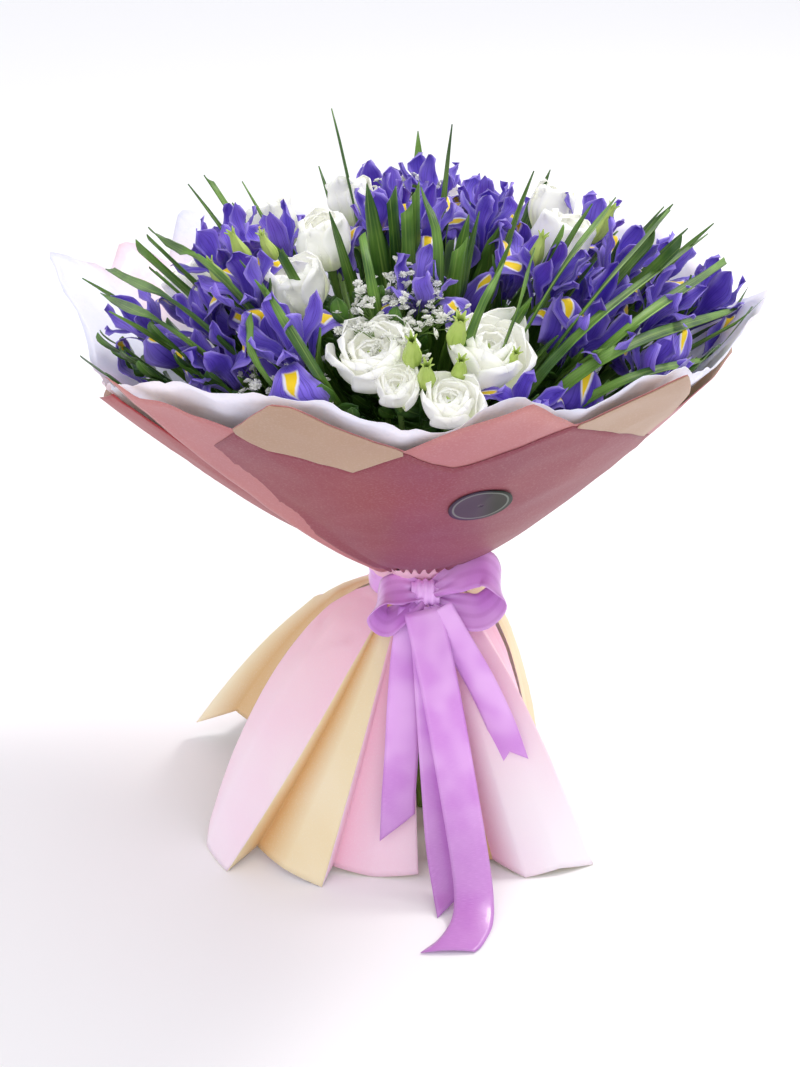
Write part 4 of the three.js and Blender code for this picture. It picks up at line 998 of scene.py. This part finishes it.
# The signal is a drop on the falls, from where they turn over. Its white edge is the wider.
signal_down = (violet.flat(0) - 0.46) * 4.0
signal_fall = signal_down.step(-0.1, 0.02) * violet.attribute("fall").step(0.6, 0.9)
signal_white = (1 - (violet_side - (1.12 - signal_down) * 0.5).step(-0.1, 0.04)) * signal_fall
signal_gold = (1 - (violet_side - (0.92 - signal_down) * 0.42).step(-0.04, 0.04)) * signal_fall
violet.paint((74, 48, 172), (violet.mottle(22).step(0.32, 0.68), (140, 116, 236)),
             (violet_vein.step(0.42, 0.66) * 0.65, (50, 28, 138)),
             (violet_side.step(0.55, 1.0) * 0.45, (182, 164, 250)),
             (signal_white, (240, 236, 252)), (signal_gold, (255, 214, 16)))
violet.bump(violet_vein, 0.0004, 0.6)


def turned(angle, axis="Z"):
    return Matrix.Rotation(math.radians(angle), 3, axis)


def bloom_matrix(axis, turn, swing):
    across = across_at(turn)
    return Matrix((across.cross(axis), across, axis)).transposed() @ turned(swing)


def iris_parts(row):
    """The places of one bloom's petals, and those of its bracts."""
    _, turn, _, _, size, swing = row
    axis, base = seat(row, IRIS_TALL)
    whole = bloom_matrix(axis, turn, FACES_FRONT - turn + swing)
    petals = []
    for k in range(3):
        nod = 0.10 * math.sin(2.3 * k + turn)
        for kind, angle, tip in ((0, 120 * k, nod), (1, 120 * k + 60, nod * 0.8), (2, 120 * k, nod * 0.6)):
            spin = turned(angle) @ Matrix.Rotation(tip, 3, "Y")
            petals.append((base, whole @ spin, size, kind))
    bracts = [(base, whole @ turned(angle), size * (0.95 + 0.15 * math.sin(angle)), 0)
              for angle in (25 + turn, 205 + turn)]
    return petals, bracts


for number in dict.fromkeys(row[0] for row in IRISES):
    members = [row for row in IRISES if row[0] == number]
    places = [place for row in members for place in iris_parts(row)[0]]
    petals = grow("iris_petals", places, [fall, standard, style], 0.011, 38.0,
                  float(members[0][1] % 7), violet)
    dress(new_piece(f"iris_bloom_{number:02d}", lift_clear(petals)), f"iris_{number:02d}")

places = [place for row in IRISES for place in iris_parts(row)[1]]
bracts = new_piece("iris_bracts", lift_clear(grow("bracts", places, [bract], 0.006, 30.0, 2.0, strap)))
dress(bracts, "stems_and_leaves")

# Lisianthus -----------------------------------------------
# Double white blooms. Broad thin petals overlap in a spiral, ruffled along the rim, round a
# green-yellow heart. The younger ones are still closed to a cup, and green buds stand by.

# Layers of petals: count, turn of the layer, lean when open, lean when closed, size.
PETAL_LAYERS = [
    (5, 0, 19, 3, 1.0), (5, 36, 9, 0, 0.95), (4, 15, 2, -3, 0.88), (4, 50, -5, -6, 0.8),
    (3, 20, -11, -10, 0.72), (3, 70, -16, -14, 0.62),
]
SPIRAL = 30
# Green buds beside the open blooms: turn, lean, distance from the tie, size.
BUDS = [
    (-92, 38, 262, 0.9), (-89, 41, 258, 0.85), (-82, 35.5, 264, 0.95), (-82, 40, 256, 0.75),
    (-156, 28, 268, 0.8), (-150, 25, 264, 0.7), (-48, 24, 268, 0.75), (0, 27, 268, 0.8),
    (-70, 39, 254, 0.7), (-150, 33, 268, 0.8),
]

petal = blade_template(
    "petal", [(1.5, 1), (6.5, 4), (11.5, 12), (13.5, 22), (12.5, 31), (14.5, 38)],
    [5, 13, 23, 30, 32, 29], 0.16, 0.9, 1.8, rows=20, columns=12, thick=0.45, blunt=0.42, notch=3.5,
    heart=0.0)
pistil = blade_template("pistil", [(0.4, 0), (1.2, 12), (1.6, 22), (3.4, 27)], [3, 3.4, 4, 5], -0.2,
                        rows=6, columns=4, thick=1.0, heart=1.0)
bud_leaf = blade_template("bud_leaf", [(1, -14), (4.5, -7), (6, 1), (4.5, 11), (2.5, 20), (5, 25)],
                          [3, 8, 10, 7, 4, 1.5], 0.22, rows=12, columns=4, thick=0.8, blunt=0.5)

# The petals glow faintly in a warm white: painted light that makes them look whiter.
white = Finish("lisianthus_petal", roughness=0.5, specular_ior_level=0.35, sheen_weight=0.15,
               emission_strength=0.1, emission_color=(1.0, 1.0, 0.93, 1), subsurface_weight=0.3,
               subsurface_scale=1.0, subsurface_radius=(0.003, 0.003, 0.002))
white_vein = white.fibre(white.flat(), (2, 22, 1))
white.paint((255, 255, 252), (white.mottle(30), (252, 252, 240)),
            ((1 - white.flat(0).step(0.1, 0.75)) * 0.85, (222, 236, 150)),
            (white_vein.step(0.5, 0.8) * 0.12, (210, 222, 170)),
            (white.attribute("heart"), (168, 198, 58)))
white.bump(white_vein, 0.0003, 0.5)

lime = Finish("green_bud", roughness=0.5, specular_ior_level=0.4)
lime.paint((150, 184, 66), (lime.mottle(90), (206, 222, 130)))


def lisianthus_petals(row):
    _, turn, lean, _, size, opened = row
    axis, base = seat(row, LISIANTHUS_TALL)
    whole = bloom_matrix(axis, turn, 20 * turn)
    rows = []
    for count, start, wide_open, shut, share in PETAL_LAYERS:
        for k in range(count):
            angle = start + 360 * k / count + 6 * math.sin(2.1 * k + turn)
            tilt = shut + (wide_open - shut) * opened + 3 * math.sin(1.9 * k + lean)
            grown = size * share * (1 + 0.05 * math.sin(3.7 * k + start))
            rows.append((base, whole @ turned(angle) @ turned(tilt, "Y") @ turned(SPIRAL), grown, 0))
    return rows + [(base, whole @ turned(120 * k), size, 1) for k in range(3)]


for row in LISIANTHUS:
    petals = grow("lisianthus_petals", lisianthus_petals(row), [petal, pistil], 0.004, 42.0,
                  float(row[1] % 11), white)
    bloom = new_piece(f"lisianthus_bloom_{row[0]:02d}", lift_clear(petals))
    dress(bloom, f"lisianthus_{row[0]:02d}")

bud_rows = []
for turn, lean, reach, size in BUDS:
    whole = bloom_matrix(aim(turn, lean), turn, 30 * turn)
    bud_rows.extend((TIE + aim(turn, lean) * reach, whole @ turned(72 * k), size, 0) for k in range(5))
buds = new_piece("green_buds", grow("buds", bud_rows, [bud_leaf], 0.002, 60.0, 1.0, lime))
dress(buds, "stems_and_leaves")

# Gypsophila -----------------------------------------------
# Clouds of tiny double white florets, each a tuft of petals on a hair-thin branched stalk.

# Which spray, turn, lean, distance of the middle of the spray, branches in it.
SPRAYS = [("front", -99, 30, 240, 20), ("left", -124, 44, 226, 11), ("back", 98, 23, 246, 11)]
SPRAY_WIDE = 38
SPRAY_ROOT = 60
STALK_STEP = 4
FLORETS_EACH = 9
FLORET_WIDE = 6.5
# Layers of a floret: petals, tilt and size.
FLORET_LAYERS = [(6, 68, 1.0), (5, 38, 0.85), (3, 10, 0.7)]

floret_petals = []
for layer, (count, tilt, size) in enumerate(FLORET_LAYERS):
    for k in range(count):
        spin = Matrix.Rotation(math.tau * k / count + layer, 4, "Z")
        mesh = grid_mesh("floret_petal", 2, 2, lambda u, v: (
            0.5 * u * (2 * v - 1) ** 2, (2 * v - 1) * (0.35 + 0.8 * u), FLORET_WIDE / 2 * u))
        mesh.transform(spin @ turned(tilt, "Y").to_4x4() @ Matrix.Scale(size, 4))
        floret_petals.append(thicken(mesh, 0.18))
floret = join_meshes("floret_template", floret_petals)
mark(floret.data, "loose", [0.0] * len(floret.data.vertices))
templates.append(floret)

chalk = Finish("gypsophila_petal", roughness=0.6, subsurface_weight=0.2,
               subsurface_radius=(0.001, 0.001, 0.001))
chalk.paint((255, 255, 252), (chalk.mottle(300, 1), (238, 240, 226)))

for side, turn, lean, reach, branches in SPRAYS:
    draw = np.random.default_rng(abs(turn))
    axis = aim(turn, lean)
    across = across_at(turn)
    outward = across.cross(axis)
    top = TIE + axis * (reach - 20)
    lines = [[TIE + axis * SPRAY_ROOT, top]]
    radii = [[1.1, 0.9]]
    rows = []
    for k in range(branches):
        spread_out = SPRAY_WIDE * math.sqrt((k + 0.5) / branches)
        angle = math.radians(GOLDEN_TURN * k)
        at = (top + axis * (38 - spread_out * 0.3 + 5 * (k % 3))
              + outward * spread_out * math.cos(angle) + across * spread_out * math.sin(angle))
        root = top - axis * STALK_STEP * (k % 9)
        fork = root.lerp(at, 0.72)
        lines.append([root, fork])
        radii.append([0.55, 0.45])
        for _ in range(FLORETS_EACH):
            drift = Vector(draw.normal(0, 5.2, 3).tolist())
            seat_at = at + drift - axis * max(0.0, drift.dot(axis)) * 0.6
            lines.append([fork, fork.lerp(seat_at, 0.6) + axis, seat_at])
            radii.append([0.35, 0.3, 0.3])
            tilt = Euler((draw.normal(0, 0.5), draw.normal(0, 0.5), draw.uniform(0, 6)))
            rows.append((seat_at, tilt.to_matrix(), draw.uniform(0.75, 1.15), 0))
    spray = join_meshes(f"gypsophila_spray_{side}", [
        lift_clear(grow("florets", rows, [floret], 0.0, 1.0, 0.0, chalk)),
        lift_clear(tubes("stalks", lines, radii, 4, stalk))])
    dress(spray, f"gypsophila_{side}")
for template in templates:
    bpy.data.objects.remove(template)

# Skirt ----------------------------------------------------
# Four sheets of two-tone paper gathered under the ribbon, pink outside and cream inside.
# Each folds back on itself, so that pink and cream panels stand side by side to the floor.
# Their upper edges stand out in a crumpled ruffle between the band and the wrap.

# Turn at the neck, turn at the foot, radius and height of the foot, how evenly the paper
# opens (1 is a straight slope, less swells out high up), whether the panel that follows
# shows the cream side, and how much painted shade lies there, in the folds and on the
# panels that stand further in.
SKIRT = {
    "skirt_front_left": [
        (-178, -157, 166, 8, 0.6, 0, 0.25), (-160, -152, 174, 0, 0.65, 0, 0),
        (-130, -140, 178, 0, 0.9, 1, 0.1), (-128, -141, 149, 8, 0.9, 1, 1),
        (-120, -129, 152, 5, 0.9, 1, 0.15), (-113, -117, 150, 0, 0.9, 0, 0.1),
        (-110, -118, 130, 5, 0.82, 0, 0.75), (-101, -105, 125, 0, 0.82, 0, 0.35),
        (-93, -90, 122, 3, 0.82, 0, 0.3),
    ],
    "skirt_front_right": [
        (-90, -85, 104, 6, 0.82, 1, 0.9), (-80, -74, 104, 2, 0.82, 1, 0.8),
        (-72, -63, 118, 4, 0.82, 0, 0.9), (-62, -58, 144, 0, 0.82, 0, 0.1),
        (-52, -49, 154, 4, 0.72, 0, 0), (-44, -40, 164, 0, 0.6, 0, 0),
        (-38, -38, 138, 8, 0.6, 0, 0.2), (-30, -30, 112, 12, 0.5, 0, 0.5),
        (-22, -20, 96, 6, 0.4, 0, 0.6),
    ],
    "skirt_back_right": [
        (-18, -10, 92, 8, 0.36, 1, 0.4), (-6, 4, 92, 0, 0.36, 1, 0.4), (8, 18, 98, 6, 0.4, 1, 0.4),
        (20, 30, 110, 8, 0.5, 1, 0.4), (32, 40, 118, 0, 0.7, 0, 0.4), (44, 50, 126, 6, 0.8, 1, 0.4),
        (54, 58, 144, 6, 0.82, 0, 0.4), (64, 70, 152, 0, 0.82, 0, 0.4),
        (76, 84, 150, 6, 0.82, 0, 0.4),
    ],
    "skirt_back_left": [
        (80, 89, 144, 6, 0.82, 1, 0.2), (92, 100, 150, 0, 0.82, 1, 0.2),
        (104, 110, 144, 8, 0.82, 0, 0.2), (112, 116, 168, 6, 0.82, 0, 0.2),
        (122, 127, 176, 10, 0.8, 0, 0.2), (132, 138, 164, 20, 0.7, 1, 0.2),
        (142, 146, 160, 26, 0.7, 0, 0.1), (154, 157, 190, 12, 0.65, 1, 0),
        (164, 160, 150, 36, 0.65, 1, 0.9), (174, 166, 126, 34, 0.65, 1, 0.5),
    ],
}
SKIRT_TOP = 192
SKIRT_WAIST = 172
SKIRT_HEM = 0.5
SKIRT_OFF = 1.2
SKIRT_TOP_SHARE = 0.12
SKIRT_PANEL_STEPS = 14
SKIRT_ROWS = 44
RUFFLE_LOW = 187
RUFFLE_HIGH = 210
RUFFLE_OUT = 12
RUFFLE_FOLDS = 13


def skirt_paper(name, shade, pale, upper, deep):
    """upper is the colour towards the neck; the last colour is painted shade in the folds and recesses."""
    paper = Finish(name, roughness=0.55, specular_ior_level=0.35, sheen_weight=0.1,
                   subsurface_weight=0.12)
    paper.paint(shade, (paper.mottle(11).step(0.3, 0.7), pale),
                (paper.place(2).step(0.0, 0.2) * 0.75, upper), (paper.attribute("deep"), deep),
                (paper.mottle(900).step(0.5, 0.8) * 0.12, (255, 255, 255)))
    paper.bump(paper.mottle(55, 3), 0.001, 0.3)
    return paper.material


pink_paper = skirt_paper("pink_paper", (255, 232, 246), (255, 246, 252), (255, 186, 204), (244, 164, 192))
cream_paper = skirt_paper("cream_paper", (246, 226, 180), (253, 240, 206), (250, 238, 196), (222, 172, 110))


def skirt_surface(panels):
    columns = (len(panels) - 1) * SKIRT_PANEL_STEPS
    sizes = np.array([row[:5] for row in panels], float)
    waist = neck_at(SKIRT_WAIST) + SKIRT_OFF

    def corner(u, v):
        place = v * (len(panels) - 1)
        at = min(int(place), len(panels) - 2)
        neck_turn, foot_turn, foot, low, flare = sizes[at] + (sizes[at + 1] - sizes[at]) * (place - at)
        if u < SKIRT_TOP_SHARE:
            z = SKIRT_TOP + (SKIRT_WAIST - SKIRT_TOP) * u / SKIRT_TOP_SHARE
            return polar(neck_at(z) + SKIRT_OFF, neck_turn, z)
        step = (u - SKIRT_TOP_SHARE) / (1 - SKIRT_TOP_SHARE)
        radius = waist + (foot - waist) * step ** flare
        turn = neck_turn + (foot_turn - neck_turn) * step
        return polar(radius, turn, SKIRT_WAIST + (low + SKIRT_HEM - SKIRT_WAIST) * step)

    def loose(u):
        gathered = 2.4 * math.exp(-((u - 0.26) / 0.08) ** 2)
        return gathered + max(0.0, min(u, 0.85) - 0.12) * min(1.0, 10 * (1 - u))

    mesh = grid_mesh("skirt_surface", SKIRT_ROWS, columns, corner, loose=loose)
    # Painted shade at each point, from the table's last column.
    across = np.linspace(0, len(panels) - 1, columns + 1)
    painted_shade_amounts = np.interp(across, np.arange(len(panels)), [row[6] for row in panels])
    mark(mesh, "deep", np.tile(painted_shade_amounts, SKIRT_ROWS + 1))
    for face in mesh.polygons:
        face.material_index = panels[face.index % columns // SKIRT_PANEL_STEPS][5]
    return mesh


for name, panels in SKIRT.items():
    sheet = paper_piece("paper_" + name, skirt_surface(panels), [cream_paper, pink_paper, cream_paper],
                        0.4, 0.004, 14.0, 0.006)
    dress(sheet, name)


def ruffle_corner(u, v):
    z = RUFFLE_LOW + (RUFFLE_HIGH - RUFFLE_LOW) * u
    fold = math.sin(math.tau * RUFFLE_FOLDS * v + 2.2 * math.sin(math.tau * 2 * v))
    lift = 2.5 * math.sin(math.tau * 5 * v + 1)
    return polar(neck_at(z) + 2.4 + (RUFFLE_OUT + 2.6 * fold) * u ** 1.3, 360 * v, z + lift * u)


ruffle_surface = grid_mesh("ruffle_surface", 10, 260, ruffle_corner, True, lambda u: u)
ruffle = paper_piece("paper_ruffle", ruffle_surface, [pink_paper, cream_paper], 0.4, 0.004, 40.0, 0.004)
dress(ruffle, "skirt_front_left")

# Ribbon ---------------------------------------------------
# One satin ribbon in lilac, 30 mm wide: a band wound round the neck, a bow with two loops
# and a knot, and four tails that hang in front of the skirt. Cut aslant or to a fishtail.

KNOT = Vector((5, -41.5, 186))
KNOT_HALF = Vector((10, 7, 10))
# Loops of the bow: which, side, reach, drop and height, width, and the direction across.
LOOPS = [
    ("left", -1, 36, -8, 24, 26, (0.3, 0.85, 0.5)), ("right", 1, 52, 6, 36, 28, (-0.1, 0.72, 0.7)),
]
# Tails: which, width, the direction across, how the end is cut, and the line from the knot.
TAILS = [
    ("left", 24, (1, 0.1, 0), "aslant",
     [(-2, -46, 176), (-7, -58, 150), (-10, -75, 118), (-12, -93, 84), (-14, -106, 58), (-15, -115, 38)]),
    ("middle", 26, (1, 0.2, 0), "aslant",
     [(6, -47, 178), (9, -66, 140), (12, -86, 100), (15, -108, 62), (18, -128, 30), (22, -146, 10),
      (24, -158, 4)]),
    ("front", 28, (1, 0.35, 0), "aslant",
     [(3, -53, 178), (13, -76, 140), (22, -100, 98), (30, -124, 58), (36, -144, 26), (38, -162, 10),
      (36, -180, 3.4), (28, -198, 1.4), (19, -210, 1.4)]),
    ("right", 22, (0.8, -0.2, 0.35), "fishtail",
     [(14, -50, 178), (28, -60, 156), (44, -70, 130), (58, -80, 102), (68, -90, 76)]),
]
RIBBON_THICK = 0.45
RIBBON_ROWS = 60
RIBBON_COLUMNS = 10
BAND_LOW = 175
BAND_WIDE = 22
BAND_RADIUS = 35.4

lilac = Finish("lilac_satin", roughness=0.3, specular_ior_level=0.55, sheen_weight=0.35,
               sheen_roughness=0.3, coat_weight=0.15)
lilac_thread = lilac.fibre(lilac.flat(), (900, 6, 1), 1)
# Painted shade on the bow's loops: strongest near the knot, and in stripes along the pleats.
lilac_pleat_shade = (lilac.flat(1) * 19).sine().step(-0.2, 1.0) * 0.5 + 0.5
# The lighter patches are a painted sheen, and the parts that hang low are darker with painted shade.
lilac.paint((218, 146, 232), (lilac.mottle(38, 1).step(0.3, 0.7), (238, 184, 248)),
            ((1 - lilac.place(2).step(0.01, 0.12)) * 0.75, (172, 104, 184)),
            (lilac.attribute("pinched") * lilac_pleat_shade, (150, 44, 150)),
            (lilac_thread.step(0.4, 0.8) * 0.25, (232, 176, 240)))
lilac.put(lilac.shader.inputs["Roughness"], lilac_thread * 0.1 + 0.25)
lilac.bump(lilac_thread, 0.0002, 0.4)


def satin_piece(name, surface):
    mesh = thicken(surface, RIBBON_THICK)
    mesh.materials.append(lilac.material)
    return new_piece(name, mesh)


def ribbon_strip(name, line, width, across, curl, gathered=False, cut=None):
    """A strip of ribbon along a line, and its length. A loop is gathered in at its ends."""
    rows = RIBBON_ROWS
    path = smooth_through(line, rows + 1)
    across = Vector(across)

    def corner(u, v):
        r = round(u * rows)
        along = Vector(path[min(r + 1, rows)] - path[max(r - 1, 0)]).normalized()
        side = (across - along * across.dot(along)).normalized()
        up = along.cross(side)
        share = min(1.0, 0.35 + math.sin(math.pi * u)) if gathered else 1.0
        sideways = 2 * v - 1
        fold = (1 - share) * 5 * math.cos(3 * math.pi * sideways)
        lift = curl * width * (1 - sideways * sideways) + fold
        ending = width * max(0.0, u - 0.8) * 5
        shift = {"aslant": -0.42 * sideways, "fishtail": 0.4 * (abs(sideways) - 1)}.get(cut, 0) * ending
        return Vector(path[r]) + side * width * share / 2 * sideways + up * lift + along * shift

    surface = grid_mesh(name, rows, RIBBON_COLUMNS, corner)
    ends = np.maximum(0, 1 - 2.4 * np.sin(np.linspace(0, math.pi, rows + 1)))
    # How much painted shade each point of a loop takes, most near the knot.
    mark(surface, "pinched", np.repeat((ends * 0.7 + 0.3) * gathered, RIBBON_COLUMNS + 1))
    length = float(np.linalg.norm(np.diff(path, axis=0), axis=1).sum())
    return satin_piece(name, surface), length


for which, side, reach, drop, tall, width, across in LOOPS:
    half = tall / 2
    line = [KNOT + Vector(place) for place in [
        (0, 0, 0), (side * reach * 0.4, -6, drop * 0.4 + half * 0.8),
        (side * reach * 0.8, -9, drop * 0.9 + half), (side * reach, -9, drop),
        (side * reach * 0.75, -8, drop * 0.9 - half * 0.9),
        (side * reach * 0.35, -5, drop * 0.3 - half * 0.6), (0, 0, -2)]]
    loop, length = ribbon_strip(f"bow_loop_{which}", line, width, across, 0.03, gathered=True)
    dress(loop, "ribbon_bow")
    length * MM

for which, width, across, cut, line in TAILS:
    tail, length = ribbon_strip(f"satin_tail_{which}", line, width, across, 0.06, cut=cut)
    dress(tail, f"ribbon_tail_{which}")
    length * MM


def knot_corner(u, v):
    across = 2 * u - 1
    tight = (1 - 0.22 * across * across) * (1 + 0.09 * math.cos(4 * math.pi * across))
    angle = math.tau * v
    return KNOT + KNOT_HALF * Vector((across, math.cos(angle) * tight, math.sin(angle) * tight))


def band_corner(u, v):
    waver = 0.7 * math.sin(math.tau * v)
    fold = 0.5 * math.sin(math.tau * 2 * u + waver) * math.sin(math.pi * u)
    return polar(BAND_RADIUS + fold, 360 * v, BAND_LOW + BAND_WIDE * u)


knot = satin_piece("ribbon_knot", grid_mesh("knot_surface", 24, 40, knot_corner, True))
dress(knot, "ribbon_bow")
band = satin_piece("band_of_ribbon", grid_mesh("band_surface", 20, 128, band_corner, True))
dress(band, "ribbon_band")

# Binding string -------------------------------------------
# Turns of natural twine that hold the stems under the paper. The solid from the frame stays.

twine = Finish("natural_twine", roughness=0.85)
twine_turns = twine.fibre(twine.place(), (80, 80, 1400), 1)
twine.paint((176, 150, 100), (twine_turns, (220, 200, 158)))
twine.bump(twine_turns, 0.0006)
for material_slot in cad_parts["binding_string"].material_slots:
    material_slot.material = twine.material
